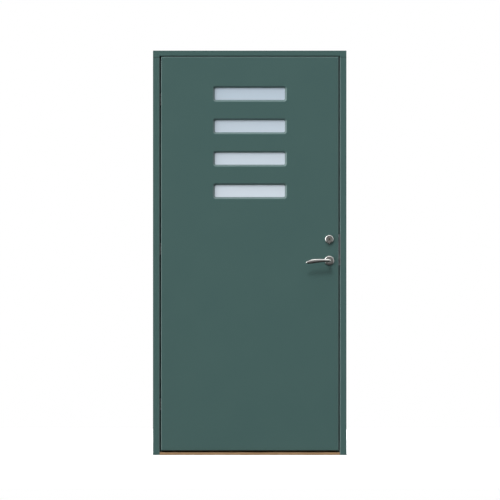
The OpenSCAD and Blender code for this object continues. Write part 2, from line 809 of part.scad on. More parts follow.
// Painted skin with chamfered outer edges
module skin(y0, y1, outside) {
    face = outside ? y0 : y1;
    inward = outside ? 1 : -1;
    difference() {
        box([leaf_l, y0, leaf_b], [leaf_r, y1, leaf_top]);
        for (s = [-1, 1]) {
            x = s < 0 ? leaf_l : leaf_r;
            translate([0, 0, leaf_b - cut]) linear_extrude(leaf_top - leaf_b + 2 * cut)
                polygon([[x - s * edge_chamfer, face], [x + s * cut, face],
                    [x + s * cut, face + inward * edge_chamfer], [x, face + inward * edge_chamfer]]);
            z = s < 0 ? leaf_b : leaf_top;
            along_x(leaf_l - cut, leaf_r + cut)
                polygon([[face, z - s * edge_chamfer], [face, z + s * cut],
                    [face + inward * edge_chamfer, z + s * cut], [face + inward * edge_chamfer, z]]);
        }
        at_windows() along_y(y0 - cut, y1 + cut) rounded_rect(rim_out_w, rim_out_h, rim_out_r);
        lock_holes(y0 - cut, y1 + cut);
    }
}

module outer_skin() { color(paint) skin(y_out, y_core_out, true); }
module inner_skin() { color(paint) skin(y_core_in, y_leaf, false); }

module hinge_stile() {
    color(paint) difference() {
        box([leaf_l, y_core_out, leaf_b], [leaf_l + hinge_stile_w, y_core_in, leaf_top]);
        for (z = hinge_heights) translate([x_gap, y_out, z]) cup_block(1);
        leaf_cup_screws();
    }
}

module lock_stile() {
    front_z = (case_b + case_top) / 2;
    color(paint) difference() {
        box([leaf_r - lock_stile_w, y_core_out, leaf_b], [leaf_r, y_core_in, leaf_top]);
        box([case_r - case_d, y_mid - case_t / 2, case_b], [case_r + cut, y_mid + case_t / 2,
            case_top]);
        along_x(case_r, leaf_r + cut) translate([y_mid, front_z])
            rounded_rect(front_w, front_h, front_r);
        lock_holes(y_core_out - cut, y_core_in + cut);
        lock_front_screws();
    }
}

module top_rail() {
    color(paint) box([leaf_l + hinge_stile_w, y_core_out, leaf_top - top_rail_h],
        [leaf_r - lock_stile_w, y_core_in, leaf_top]);
}

module bottom_rail() {
    color(paint) box([leaf_l + hinge_stile_w, y_core_out, leaf_b],
        [leaf_r - lock_stile_w, y_core_in, leaf_b + bottom_rail_h]);
}

// Solid wood panel round the windows
module window_block() {
    color(pine) difference() {
        box([leaf_x - block_w / 2, y_core_out, block_b], [leaf_x + block_w / 2, y_core_in,
            block_top]);
        at_windows() along_y(y_core_out - cut, y_core_in + cut)
            rounded_rect(rim_out_w, rim_out_h, rim_out_r);
    }
}

module insulation_core() {
    color(foam) difference() {
        box([leaf_l + hinge_stile_w, y_core_out, leaf_b + bottom_rail_h],
            [leaf_r - lock_stile_w, y_core_in, leaf_top - top_rail_h]);
        box([leaf_x - block_w / 2, y_core_out - cut, block_b],
            [leaf_x + block_w / 2, y_core_in + cut, block_top]);
    }
}

// Cutter with sloping sides: full size at the origin's depth, narrower further in along +Y
module slope_cutter() {
    w = window_w / 2 - window_r;
    h = window_h / 2 - window_r;
    translate([0, -cut, 0]) along_y(0, cut) rounded_rect(window_w, window_h, window_r);
    rotate([-90, 0, 0]) for (x = [-w, w], z = [-h, h]) translate([x, z, 0])
        cylinder(h = slope_d, r1 = window_r, r2 = sight_r);
    translate([-w, 0, 0]) rotate([90, 0, 90]) linear_extrude(2 * w)
        polygon([[0, -window_h / 2], [slope_d, -sight_h / 2], [slope_d, sight_h / 2],
            [0, window_h / 2]]);
    translate([0, 0, -h]) linear_extrude(2 * h)
        polygon([[-window_w / 2, 0], [window_w / 2, 0], [sight_w / 2, slope_d],
            [-sight_w / 2, slope_d]]);
}

// One window frame, drawn for the outside; its back presses the sealing tape on the glass
module window_frame(depth) {
    difference() {
        along_y(0, depth - tape_t) rounded_rect(rim_out_w, rim_out_h, rim_out_r);
        slope_cutter();
        along_y(-cut, depth + cut) rounded_rect(sight_w, sight_h, sight_r);
    }
}

module outer_window_frame(i) {
    color(paint) translate([leaf_x, y_out, window_z[i]]) window_frame(glass_depth);
}

module inner_window_frame(i) {
    color(paint) translate([leaf_x, y_leaf, window_z[i]]) mirror([0, 1, 0])
        window_frame(y_leaf - y_pane_in);
}

module outer_window_frame_1() { outer_window_frame(0); }
module outer_window_frame_2() { outer_window_frame(1); }
module outer_window_frame_3() { outer_window_frame(2); }
module outer_window_frame_4() { outer_window_frame(3); }
module inner_window_frame_1() { inner_window_frame(0); }
module inner_window_frame_2() { inner_window_frame(1); }
module inner_window_frame_3() { inner_window_frame(2); }
module inner_window_frame_4() { inner_window_frame(3); }

// The two panes of one sealed unit
module panes(i) {
    color(glass_tint) translate([leaf_x, 0, window_z[i]]) {
        along_y(y_pane_out, y_pane_out + pane_t) rounded_rect(glass_w, glass_h, glass_r);
        along_y(y_pane_in - pane_t, y_pane_in) rounded_rect(glass_w, glass_h, glass_r);
    }
}

module panes_1() { panes(0); }
module panes_2() { panes(1); }
module panes_3() { panes(2); }
module panes_4() { panes(3); }

module glass_spacers() {
    color(rubber) at_windows() along_y(y_pane_out + pane_t, y_pane_in - pane_t) difference() {
        rounded_rect(glass_w, glass_h, glass_r);
        rounded_rect(glass_w - 2 * spacer_w, glass_h - 2 * spacer_w, glass_r - spacer_w);
    }
}

module glazing_tape() {
    color(rubber) at_windows() for (y = [y_pane_out - tape_t, y_pane_in])
        along_y(y, y + tape_t) difference() {
            rounded_rect(glass_w, glass_h, glass_r);
            rounded_rect(sight_w + 2, sight_h + 2, sight_r + 1);
        }
}

// Folded steel case, open inside, with its two turning holes and the bolts' openings
module lock_case() {
    y0 = y_mid - case_t / 2;
    y1 = y_mid + case_t / 2;
    color(zinc) difference() {
        box([case_r - case_d, y0, case_b], [case_r, y1, case_top]);
        box([case_r - case_d + case_wall, y0 + case_wall, case_b + case_wall],
            [case_r - case_wall, y1 - case_wall, case_top - case_wall]);
        rod_y(handle_x, handle_z, hub_hole_r, y0 - cut, y1 + cut);
        rod_y(handle_x, cylinder_z, hub_hole_r, y0 - cut, y1 + cut);
        through_bolt_places() rod_y(0, 0, 3, y0 - cut, y1 + cut);
        bolt_windows(case_r - case_wall - cut, case_r + cut);
    }
}

// The two bolts' openings in the case's front and in the front plate
module bolt_windows(x0, x1) {
    for (b = [[latch_z, latch_h], [bolt_z, bolt_h]])
        box([x0, y_mid - bolt_t / 2 - bolt_gap, b[0] - b[1] / 2 - bolt_gap],
            [x1, y_mid + bolt_t / 2 + bolt_gap, b[0] + b[1] / 2 + bolt_gap]);
}

module lock_front() {
    front_z = (case_b + case_top) / 2;
    color(steel) difference() {
        along_x(case_r, leaf_r) translate([y_mid, front_z])
            rounded_rect(front_w, front_h, front_r);
        bolt_windows(case_r - cut, leaf_r + cut);
        lock_front_screw_places() screw(front_screw_l, 2, 4);
    }
}

module lock_front_screw_places() {
    for (s = [-1, 1])
        translate([leaf_r, y_mid, (case_b + case_top) / 2 + s * (front_h / 2 - 9)])
            rotate([0, 0, 180]) children();
}

module lock_front_screws() {
    color(zinc) lock_front_screw_places() screw(front_screw_l, 2, 4);
}

// Latch with its bevel towards the stop, and a tail with a notch for the follower's finger
module latch_bolt() {
    tip = leaf_r + latch_throw;
    rear = case_r - 16;
    bevel = latch_throw - 1.5;
    blunt = 1;
    tail_z0 = handle_z + hub_r + tail_gap;
    tail_back = case_r - case_d + case_wall + latch_throw + 5;
    color(zinc) difference() {
        union() {
            translate([0, 0, latch_z - latch_h / 2]) linear_extrude(latch_h)
                polygon([[rear, y_mid - bolt_t / 2], [tip - blunt, y_mid - bolt_t / 2],
                    [tip, y_mid - bolt_t / 2 + blunt], [tip, y_mid - bolt_t / 2 + 2.5],
                    [tip - bevel, y_mid + bolt_t / 2], [rear, y_mid + bolt_t / 2]]);
            box([tail_back, y_mid - tail_t / 2, tail_z0],
                [rear + cut, y_mid + tail_t / 2, tail_z0 + tail_h]);
        }
        box([handle_x - finger_w / 2 - 0.8, y_mid - tail_t, tail_z0 - cut],
            [handle_x + 12, y_mid + tail_t, handle_z + finger_l + tail_gap]);
    }
}

// Dead bolt with a notch in its top for the cam's finger
module dead_bolt() {
    notch_l = handle_x - cam_reach;
    notch_r = handle_x - cam_reach + 13;
    color(zinc) difference() {
        box([notch_l - 6, y_mid - bolt_t / 2, bolt_z - bolt_h / 2],
            [leaf_r, y_mid + bolt_t / 2, bolt_z + bolt_h / 2]);
        box([notch_l, y_mid - bolt_t, cylinder_z - cam_l - tail_gap],
            [notch_r, y_mid + bolt_t, cylinder_z]);
    }
}

// Round rose with a rolled edge and a hole for the neck
module rose_form(hole_r) {
    roll = 3;
    rotate_extrude() difference() {
        union() {
            translate([0, 0]) square([rose_r, rose_t - roll]);
            square([rose_r - roll, rose_t]);
            translate([rose_r - roll, rose_t - roll]) circle(roll);
        }
        translate([-roll, -cut]) square([roll + hole_r, rose_t + 2 * cut]);
        translate([rose_r - 2 * roll, -2 * roll]) square([3 * roll, 2 * roll]);
    }
}

module outer_rose() {
    color(steel) translate([handle_x, y_out, handle_z]) rotate([90, 0, 0])
        rose_form(neck_r + turn_gap);
}

module inner_rose() {
    color(steel) translate([handle_x, y_leaf, handle_z]) rotate([-90, 0, 0])
        rose_form(neck_r + turn_gap);
}

// Bolts that tie each outer rose to its inner one
module through_bolts() {
    color(zinc) through_bolt_places() rod_y(0, 0, 2.5, y_out, y_leaf);
}

// One station along the grip: a flattened ball
module grip_ball(x, z, half_t, half_h) {
    translate([x, 0, z]) scale([half_t, half_t, half_h]) sphere(1, $fn = 28);
}

// One lever, drawn for the outside with the grip's axis at depth zero
module lever_form() {
    difference() {
        union() {
            rod_y(0, 0, neck_r, -2, lever_reach - turn_gap);
            hull() {
                grip_ball(0, 0.4, neck_r, neck_r + 0.4);
                grip_ball(-lever_l * 0.31, 0, grip_half_t + 0.7, 8.8);
            }
            hull() {
                grip_ball(-lever_l * 0.31, 0, grip_half_t + 0.7, 8.8);
                grip_ball(-lever_l * 0.62, -2.6, grip_half_t, 11.2);
            }
            hull() {
                grip_ball(-lever_l * 0.62, -2.6, grip_half_t, 11.2);
                grip_ball(-lever_l * 0.83, -6, grip_half_t - 0.5, 10.4);
            }
            hull() {
                grip_ball(-lever_l * 0.83, -6, grip_half_t - 0.5, 10.4);
                grip_ball(-lever_l + grip_half_t - 1, -9.5, grip_half_t - 1, 5.4);
            }
        }
        translate([-spindle_s / 2, socket_back, -spindle_s / 2])
            cube([spindle_s, lever_reach, spindle_s]);
    }
}

module outer_lever() {
    color(steel) translate([handle_x, grip_y, handle_z]) lever_form();
}

module inner_lever() {
    color(steel) translate([handle_x, y_leaf + lever_reach, handle_z]) mirror([0, 1, 0])
        lever_form();
}

// Square bar that joins the two levers through the follower
module spindle_bar(y0, y1) {
    box([handle_x - spindle_s / 2, y0, handle_z - spindle_s / 2],
        [handle_x + spindle_s / 2, y1, handle_z + spindle_s / 2]);
}

module handle_spindle() {
    color(zinc) spindle_bar(grip_y + socket_back, y_leaf + lever_reach - socket_back);
}

// Turning hub in the lock case with the finger that draws the latch back
module follower() {
    hub_t = case_t - 1;
    color(zinc) difference() {
        union() {
            rod_y(handle_x, handle_z, hub_r, y_mid - hub_t / 2, y_mid + hub_t / 2);
            box([handle_x - finger_w / 2, y_mid - tail_t / 2, handle_z],
                [handle_x + finger_w / 2, y_mid + tail_t / 2, handle_z + finger_l]);
        }
        spindle_bar(y_mid - hub_t, y_mid + hub_t);
    }
}

// Drop-shaped outline of the cylinder's ring
module drop_outline(r, point) {
    tip_r = 8;
    tip_z = -(point - tip_r);
    lean = asin((r - tip_r) / -tip_z);
    circle(r);
    translate([0, tip_z]) circle(tip_r);
    polygon([[-r * cos(lean), -r * sin(lean)], [r * cos(lean), -r * sin(lean)],
        [tip_r * cos(lean), tip_z - tip_r * sin(lean)],
        [-tip_r * cos(lean), tip_z - tip_r * sin(lean)]]);
}

module ring_form() {
    step = 2.5;
    difference() {
        union() {
            along_y(-ring_t + step, 0) drop_outline(ring_r, ring_point);
            along_y(-ring_t, 0) drop_outline(ring_r - step, ring_point - step);
        }
        rod_y(0, 0, cylinder_r, -ring_t - cut, cut);
    }
}

// Hardened security ring round the cylinder
module cylinder_ring() {
    color(steel) translate([handle_x, y_out, cylinder_z]) ring_form();
}

// Fixed housing of the cylinder, reaching from the ring back to the lock case
module cylinder_body() {
    color(steel) difference() {
        rod_y(handle_x, cylinder_z, cylinder_r, y_out - ring_t + face_step, y_mid - case_t / 2);
        rod_y(handle_x, cylinder_z, plug_r + pin_clearance, y_out - ring_t, y_mid);
        through_bolt_places() rod_y(0, 0, 3, y_out, y_mid);
    }
}

// Inner ring with the disc that carries the thumbturn's stem
module thumbturn_ring() {
    color(steel) difference() {
        union() {
            translate([handle_x, y_leaf, cylinder_z]) mirror([0, 1, 0]) ring_form();
            rod_y(handle_x, cylinder_z, cylinder_r, y_leaf, y_leaf + ring_t - face_step);
        }
        rod_y(handle_x, cylinder_z, stem_r + turn_gap, y_leaf - cut, y_leaf + ring_t);
    }
}

// Plug with its keyway and the flat bar that reaches towards the case
module cylinder_plug() {
    keyway_w = 2.4;
    bar_w = 2.5;
    bar_h = 8;
    rear = y_mid - case_t / 2 - 1;
    color("#8F8678") difference() {
        union() {
            rod_y(handle_x, cylinder_z, plug_r, y_out - ring_t + face_step - 0.4, rear);
            box([handle_x - bar_w / 2, rear - cut, cylinder_z - bar_h / 2],
                [handle_x + bar_w / 2, y_mid - 3, cylinder_z + bar_h / 2]);
        }
        box([handle_x - keyway_w / 2, y_out - ring_t, cylinder_z - plug_r + 1.5],
            [handle_x + keyway_w / 2, y_out + 12, cylinder_z + 3.5]);
    }
}

// Thumbturn: a stem through the leaf, a collar and an upright grip
module thumbturn() {
    y_face = y_leaf + ring_t - face_step + turn_gap;
    collar_t = 5;
    grip_l = 15;
    color(steel) {
        rod_y(handle_x, cylinder_z, stem_r, y_mid + cam_t, y_face + collar_t);
        rod_y(handle_x, cylinder_z, 11, y_face, y_face + collar_t);
        along_y(y_face + collar_t - cut, y_face + collar_t + grip_l)
            translate([handle_x, cylinder_z]) rounded_rect(9, thumb_l, 4.4);
    }
}

// Cam on the thumbturn's stem; its finger pushes the dead bolt out
module bolt_cam() {
    color(zinc) along_y(y_mid, y_mid + cam_t) translate([handle_x, cylinder_z]) {
        circle(cam_hub_r);
        rotate(-45) translate([-cam_w / 2, -cam_l]) square([cam_w, cam_l]);
    }
}

hinge_jamb();
lock_jamb();
head_jamb();
threshold();
threshold_strip();
frame_seal();
threshold_seal();
strike_plate();
strike_screws();
fixing_sleeves();
sleeve_caps();
corner_screws();
frame_cups();
frame_cup_screws();
frame_cup_pins();
outer_skin();
inner_skin();
hinge_stile();
lock_stile();
top_rail();
bottom_rail();
window_block();
insulation_core();
outer_window_frame_1();
outer_window_frame_2();
outer_window_frame_3();
outer_window_frame_4();
inner_window_frame_1();
inner_window_frame_2();
inner_window_frame_3();
inner_window_frame_4();
panes_1();
panes_2();
panes_3();
panes_4();
glass_spacers();
glazing_tape();
lock_case();
lock_front();
lock_front_screws();
leaf_cups();
leaf_cup_screws();
leaf_cup_pins();
outer_rose();
inner_rose();
through_bolts();
cylinder_ring();
cylinder_body();
thumbturn_ring();
frame_arms();
leaf_arms();
outer_lever();
inner_lever();
handle_spindle();
follower();
latch_bolt();
dead_bolt();
thumbturn();
bolt_cam();
cylinder_plug();
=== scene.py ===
# %% [markdown]
# A painted front door, dressed in Blender
# The door set arrives as finished CAD solids: a leaf with four slot windows, its frame, an oak
# threshold, concealed hinges, a lock and a handle. They are the fixed frame of this lesson and never
# move. What is left is what a photographer's eye would look for: paint, oak, glass, satin steel, and
# the hand-shaped lever that a few stretched spheres can only suggest.

# %% Load the fixed frame
import math

import bmesh
import bpy
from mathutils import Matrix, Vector


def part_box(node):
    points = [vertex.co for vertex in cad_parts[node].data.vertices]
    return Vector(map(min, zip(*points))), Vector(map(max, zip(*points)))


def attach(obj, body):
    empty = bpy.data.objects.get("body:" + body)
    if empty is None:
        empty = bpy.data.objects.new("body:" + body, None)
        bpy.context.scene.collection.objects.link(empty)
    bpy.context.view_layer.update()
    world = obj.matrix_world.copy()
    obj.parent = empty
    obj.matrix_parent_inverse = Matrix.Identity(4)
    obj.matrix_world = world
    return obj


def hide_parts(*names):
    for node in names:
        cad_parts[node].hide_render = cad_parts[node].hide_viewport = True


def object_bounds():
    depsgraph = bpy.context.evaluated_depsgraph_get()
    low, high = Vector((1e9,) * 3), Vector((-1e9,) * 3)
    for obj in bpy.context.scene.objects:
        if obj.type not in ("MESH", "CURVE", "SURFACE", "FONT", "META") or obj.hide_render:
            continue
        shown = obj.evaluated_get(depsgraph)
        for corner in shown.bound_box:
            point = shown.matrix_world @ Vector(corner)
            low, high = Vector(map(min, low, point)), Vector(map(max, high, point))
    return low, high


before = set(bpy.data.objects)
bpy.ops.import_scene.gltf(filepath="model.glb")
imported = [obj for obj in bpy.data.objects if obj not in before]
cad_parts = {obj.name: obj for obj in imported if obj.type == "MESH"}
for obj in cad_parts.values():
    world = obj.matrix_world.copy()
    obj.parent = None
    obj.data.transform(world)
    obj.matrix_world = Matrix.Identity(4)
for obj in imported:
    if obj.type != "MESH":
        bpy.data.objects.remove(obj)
cad_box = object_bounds()
print("nodes", len(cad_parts), "box", [round(v, 4) for corner in cad_box for v in corner])

# %% [markdown]
# Everything below is placed from the frame, never by eye. A node's box gives its lowest and highest
# corner in metres, so the handle's axis is the middle of its rose and the outside face is the front of
# the skin. If the CAD changes, the pieces follow it.

# %% Measure the door
MM = 0.001
# the windows are numbered from the top
WINDOWS = (1, 2, 3, 4)


def middle(node):
    """The middle of a CAD node's box."""
    low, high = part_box(node)
    return (low + high) / 2


face_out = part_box("outer_skin")[0].y
face_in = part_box("inner_skin")[1].y
handle = middle("outer_rose")
cylinder = middle("cylinder_plug")
print("outside face", round(face_out, 4), "inside face", round(face_in, 4))
print("handle", [round(v, 4) for v in handle], "cylinder", [round(v, 4) for v in cylinder])

# %% [markdown]
# Camera
# The picture is a product shot, straight on and without any visible vanishing point. A very long lens
# far away gives that look and still behaves as a normal camera when it is moved round the door. Its
# distance is worked out from the width that the picture shows at the outside face.

# %% Set the camera
SHOWN_WIDTH = 2.5715
LENS_MM = 300
FAR_END = 100
CENTRE_X = 0.0015
CENTRE_Z = 1.0544

scene = bpy.context.scene
camera = bpy.data.objects.new("camera", bpy.data.cameras.new("camera"))
scene.collection.objects.link(camera)
scene.camera = camera
camera.data.lens = LENS_MM
distance = SHOWN_WIDTH * LENS_MM / camera.data.sensor_width
camera.location = (CENTRE_X, face_out - distance, CENTRE_Z)
camera.rotation_euler = (math.radians(90), 0, 0)
camera.data.clip_end = FAR_END
print("camera stands", round(distance, 2), "m in front of the door")

# %% [markdown]
# One way to write colours and nodes
# Paint charts and screens give colours as sRGB hex values, while Blender's shaders want linear light,
# so one function turns the first into the second. Another one adds a node, sets it up and links it,
# which keeps each material down to the few lines that describe the surface. Every node type used here
# starts with ShaderNode, so that function puts the word in front. A noise and a blend of two colours
# come in nearly every surface, so each has a function of its own.


# %% Define the colour and node helpers
def linear(code):
    """Turns an sRGB hex colour into linear RGBA."""
    channels = [int(code[i:i + 2], 16) / 255 for i in (1, 3, 5)]
    return [c / 12.92 if c <= 0.04045 else ((c + 0.055) / 1.055) ** 2.4 for c in channels] + [1.0]


def add_node(tree, kind, inputs=None, **settings):
    """Adds a shader node with its settings, and links or sets the inputs named or numbered."""
    node = tree.nodes.new("ShaderNode" + kind)
    for name, value in settings.items():
        setattr(node, name, value)
    for name, value in (inputs or {}).items():
        if isinstance(value, bpy.types.NodeSocket):
            tree.links.new(value, node.inputs[name])
        else:
            node.inputs[name].default_value = value
    return node


def new_material(name):
    """An empty material and its node tree."""
    material = bpy.data.materials.new(name)
    material.use_nodes = True
    material.node_tree.nodes.clear()
    return material, material.node_tree


def finish_material(tree, inputs):
    """Adds the shader with its inputs and ends the tree with it."""
    shader = add_node(tree, "BsdfPrincipled", inputs)
    add_node(tree, "OutputMaterial", {"Surface": shader.outputs["BSDF"]})


def per_metre(size_mm):
    """The scale of a pattern whose features are this many millimetres wide."""
    return 1 / (size_mm * MM)


def noise(tree, place, size_mm, detail=2.0):
    """A noise whose features are this many millimetres wide."""
    return add_node(tree, "TexNoise", {"Vector": place, "Scale": per_metre(size_mm),
                                       "Detail": detail}).outputs["Fac"]


def blend(tree, factor, one, other):
    """Mixes two colours, each a hex colour or a socket, by a factor."""
    one, other = [linear(end) if isinstance(end, str) else end for end in (one, other)]
    return add_node(tree, "Mix", {0: factor, "A": one, "B": other},
                    data_type="RGBA").outputs["Result"]


print("half grey is", round(linear("#808080")[0], 3), "in linear light")

# %% [markdown]
# Light
# The photograph was lit from above and a little from the left: the lever's soft shadow lies about 1.3
# times as far below it as the lever stands off the door. A lamp nearby would spread that shadow, and a
# sun's rays stay parallel over the whole door. So one broad sun makes it, at the height that the drop
# gives. It stays out of the steel, where it would burn a white spot.

# %% Set the sun
SHADOW_DROP = 1.28
SHADOW_SIDE = 0.2
SUN_STRENGTH = 1.7
SUN_ANGLE = math.radians(14)

sun = bpy.data.objects.new("key_sun", bpy.data.lights.new("key_sun", "SUN"))
scene.collection.objects.link(sun)
sun.data.energy = SUN_STRENGTH
sun.data.angle = SUN_ANGLE
sun.rotation_mode = "QUATERNION"
sun.rotation_quaternion = Vector((SHADOW_SIDE, 1, -SHADOW_DROP)).to_track_quat("-Z", "Y")
sun.visible_glossy = False
scene.view_settings.view_transform = "Standard"
print("sun at", round(math.degrees(math.atan(SHADOW_DROP)), 1), "degrees above the horizon")

# %% [markdown]
# The chamfers that face left or up are bright lines, and the steel is bright on top, dark underneath
# and grey where it faces the camera. So the studio is a dim wall behind the camera, a bright ceiling, a
# strip of light on the left and a weaker one on the right. Area lamps could do it, but each would need
# a place that stays clear when the camera moves round the door. A soft lobe painted into the world has
# only a direction, and fades in between two cosines of the angle to its axis. Photographers light paint
# and steel apart, with cards that only the steel mirrors, so matt rays and glossy rays get a room each.
# Only the camera sees the plain white backdrop.

# %% Paint the studio into the world
# each light: its axis, the cosines where it begins and where it is full, and its strength
# what falls on matt surfaces: upper room, ceiling, the floor's bounce, both strips, the back wall
MATT_LEVEL = 0.02
MATT_LIGHTS = [((0, -0.5, 0.87), 0.55, 0.95, 0.95), ((0, 0, 1), 0.8, 0.97, 3.2),
               ((0, -0.3, -1), 0.3, 0.8, 0.22), ((-0.92, -0.4, 0), 0.75, 0.95, 3.3),
               ((0.9, -0.4, 0), 0.7, 0.95, 0.4), ((0, 1, 0), 0.0, 0.6, 1.3)]
# what steel and gloss mirror: a dim upper half, the ceiling, bright cards above and on the left, both
# strips, the wall behind the camera and the wall behind the door
GLOSS_LEVEL = 0.035
GLOSS_LIGHTS = [((0, 0, 1), -0.25, 0.05, 0.11), ((0, -0.1, 1), 0.36, 0.62, 0.95),
                ((0, -0.36, 0.93), 0.93, 0.99, 2.2), ((-0.77, -0.34, 0.53), 0.86, 0.985, 4.6),
                ((-0.94, -0.34, 0.0), 0.8, 0.95, 3.0), ((-1, 0, 0.1), 0.7, 0.95, 1.6),
                ((1, 0, 0.1), 0.6, 0.95, 1.3), ((0, -1, 0.1), 0.86, 1.0, 0.12),
                ((0, 1, 0.3), 0.2, 0.8, 0.5)]

scene.world = bpy.data.worlds.new("studio_sky")
scene.world.use_nodes = True
sky = scene.world.node_tree
sky.nodes.clear()
direction = add_node(sky, "TexCoord").outputs["Generated"]


def lobe(axis, edge, full, strength):
    """Light that fades in between two cosines of the angle to an axis."""
    cosine = add_node(sky, "VectorMath", {0: direction, 1: axis}, operation="DOT_PRODUCT")
    return add_node(sky, "MapRange", {0: cosine.outputs["Value"], 1: edge, 2: full, 3: 0.0,
                                      4: strength}, interpolation_type="SMOOTHSTEP").outputs[0]


def add_up(level, lights):
    """An even level with a lobe for each light on top."""
    for light in lights:
        level = add_node(sky, "Math", {0: level, 1: lobe(*light)}, operation="ADD").outputs[0]
    return level


matt_room = add_up(MATT_LEVEL, MATT_LIGHTS)
gloss_room = add_up(GLOSS_LEVEL, GLOSS_LIGHTS)
rays = add_node(sky, "LightPath").outputs
glow = add_node(sky, "Mix", {0: rays["Is Glossy Ray"], 2: matt_room, 3: gloss_room},
                data_type="FLOAT").outputs[0]
sky_light = add_node(sky, "Background", {"Color": linear("#F6F8FA"), "Strength": glow})
backdrop = add_node(sky, "Background", {"Color": linear("#FFFFFF"), "Strength": 1.0})
both = add_node(sky, "MixShader",
                {0: rays["Is Camera Ray"], 1: sky_light.outputs[0], 2: backdrop.outputs[0]})
add_node(sky, "OutputWorld", {"Surface": both.outputs[0]})
print("lights on paint", len(MATT_LIGHTS), "and on steel", len(GLOSS_LIGHTS))

# %% [markdown]
# The floor is a pale sheet under the threshold. It stays out of mirrored and bounced light, because a
# white floor of this size would turn the steel and the lower edges of the door white underneath.

# %% Lay the floor
FLOOR_SIZE = 6.0
FIBRE_MM = 40

bpy.ops.object.select_all(action="DESELECT")
bpy.ops.mesh.primitive_plane_add(size=FLOOR_SIZE, location=(0, 0, 0))
floor = bpy.context.object
floor.name = "floor"
floor.visible_glossy = False
floor.visible_diffuse = False
paper, tree = new_material("matt_white_paper")
fibres = add_node(tree, "TexNoise", {"Scale": per_metre(FIBRE_MM)}).outputs["Fac"]
tone = blend(tree, fibres, "#FAFAFA", "#FFFFFF")
finish_material(tree, {"Base Color": tone, "Roughness": 0.9})
floor.data.materials.append(paper)
print("floor", FLOOR_SIZE, "m wide")

# %% [markdown]
# Paint
# The leaf is fibre board and the frame is pine, both sprayed with the same satin exterior paint. Sprayed
# paint dries to a very fine orange peel, so the colour is almost dead even and only the gloss moves.
# Two noises are enough: one about 2 mm wide for the peel, drawn a little coarser than it is so that it
# shows, and one of a hand's width that shifts the tone by a few parts in a hundred. The bevelled arrises
# get a painted highlight in a lighter, greyer tone, which stands in for the light that they catch. So the
# faces whose normal lies between the front and the side get that tone of their own, except those that
# look down, which get no painted highlight.

# %% Mix the leaf's paint
PAINT = "#415C58"
PAINT_DEEP = "#3E5956"
# painted highlight: the lighter, greyer tone painted on the bevelled arrises
ARRIS_HIGHLIGHT_TONE = "#5A6F6D"
PAINT_ROUGHNESS = 0.34
GLOSS_DRIFT = 0.05
PAINT_IOR = 1.5
PEEL_MM = 2.2
PEEL_STRENGTH = 0.22
PEEL_DEPTH = 0.4 * MM
CLOUD_MM = 160
# how far a bevel's normal looks to the front, give or take, and how far down it may look and still get
# the painted highlight
BEVEL_FRONT = 0.68
BEVEL_RANGE = 0.2
BEVEL_DOWN = -0.3


def paint_coat(tree):
    """Colour, roughness and orange peel of the sprayed paint, with a painted highlight on the arrises."""
    place = add_node(tree, "TexCoord").outputs["Object"]
    cloud = noise(tree, place, CLOUD_MM, 3.0)
    peel = noise(tree, place, PEEL_MM)
    colour = blend(tree, cloud, PAINT_DEEP, PAINT)
    # painted highlight on the arrises: faces that look between front and side, and not down, get the
    # lighter tone
    facing = add_node(tree, "TexCoord").outputs["Normal"]
    parts = add_node(tree, "SeparateXYZ", {0: facing}).outputs
    front = add_node(tree, "Math", {0: parts["Y"]}, operation="ABSOLUTE").outputs[0]
    slanted = add_node(tree, "Math", {0: front, 1: BEVEL_FRONT, 2: BEVEL_RANGE},
                       operation="COMPARE").outputs[0]
    not_looking_down = add_node(tree, "Math", {0: parts["Z"], 1: BEVEL_DOWN}, operation="GREATER_THAN").outputs[0]
    arris_highlight = add_node(tree, "Math", {0: slanted, 1: not_looking_down}, operation="MULTIPLY").outputs[0]
    colour = blend(tree, arris_highlight, colour, ARRIS_HIGHLIGHT_TONE)
    gloss = add_node(tree, "MapRange", {0: cloud, 3: PAINT_ROUGHNESS - GLOSS_DRIFT,
                                        4: PAINT_ROUGHNESS + GLOSS_DRIFT}).outputs[0]
    return place, colour, gloss, peel


door_paint, tree = new_material("sprayed_satin_door_paint")
place, colour, gloss, peel = paint_coat(tree)
skin = add_node(tree, "Bump", {"Height": peel, "Strength": PEEL_STRENGTH, "Distance": PEEL_DEPTH})
finish_material(tree, {"Base Color": colour, "Roughness": gloss, "IOR": PAINT_IOR,
                       "Normal": skin.outputs["Normal"]})
print("leaf paint", PAINT, "with peel of", PEEL_MM, "mm")

# %% [markdown]
# On the frame the pine telegraphs through: long, low ripples that follow each member, and a hairline
# in the coat where the posts meet the head. The ripples are a noise that is drawn out along the grain,
# 25 times its width. Posts run upwards and the head runs sideways, so there are two such paints.

# %% Mix the frame's paint
JOINT_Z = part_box("hinge_jamb")[1].z
HAIRLINE_HALF = 1.1 * MM
HAIRLINE_TONE = "#232F2E"
GRAIN_MM = 9
GRAIN_DRAWN = 0.04
GRAIN_STRENGTH = 0.10
GRAIN_DEPTH = 0.8 * MM


def frame_paint(name, stretch):
    """Paint on a pine member whose grain runs along the axis that stretch shortens."""
    material, tree = new_material(name)
    place, colour, gloss, peel = paint_coat(tree)
    drawn = add_node(tree, "Mapping", {"Vector": place, "Scale": stretch}).outputs[0]
    grain = noise(tree, drawn, GRAIN_MM, 4.0)
    height = add_node(tree, "SeparateXYZ", {0: place}).outputs["Z"]
    crack = add_node(tree, "Math", {0: height, 1: JOINT_Z, 2: HAIRLINE_HALF},
                     operation="COMPARE").outputs[0]
    colour = blend(tree, crack, colour, HAIRLINE_TONE)
    ripple = add_node(tree, "Bump", {"Height": grain, "Strength": GRAIN_STRENGTH,
                                     "Distance": GRAIN_DEPTH})
    skin = add_node(tree, "Bump", {"Height": peel, "Strength": PEEL_STRENGTH,
                                   "Distance": PEEL_DEPTH, "Normal": ripple.outputs["Normal"]})
    finish_material(tree, {"Base Color": colour, "Roughness": gloss, "IOR": PAINT_IOR,
                           "Normal": skin.outputs["Normal"]})
    return material


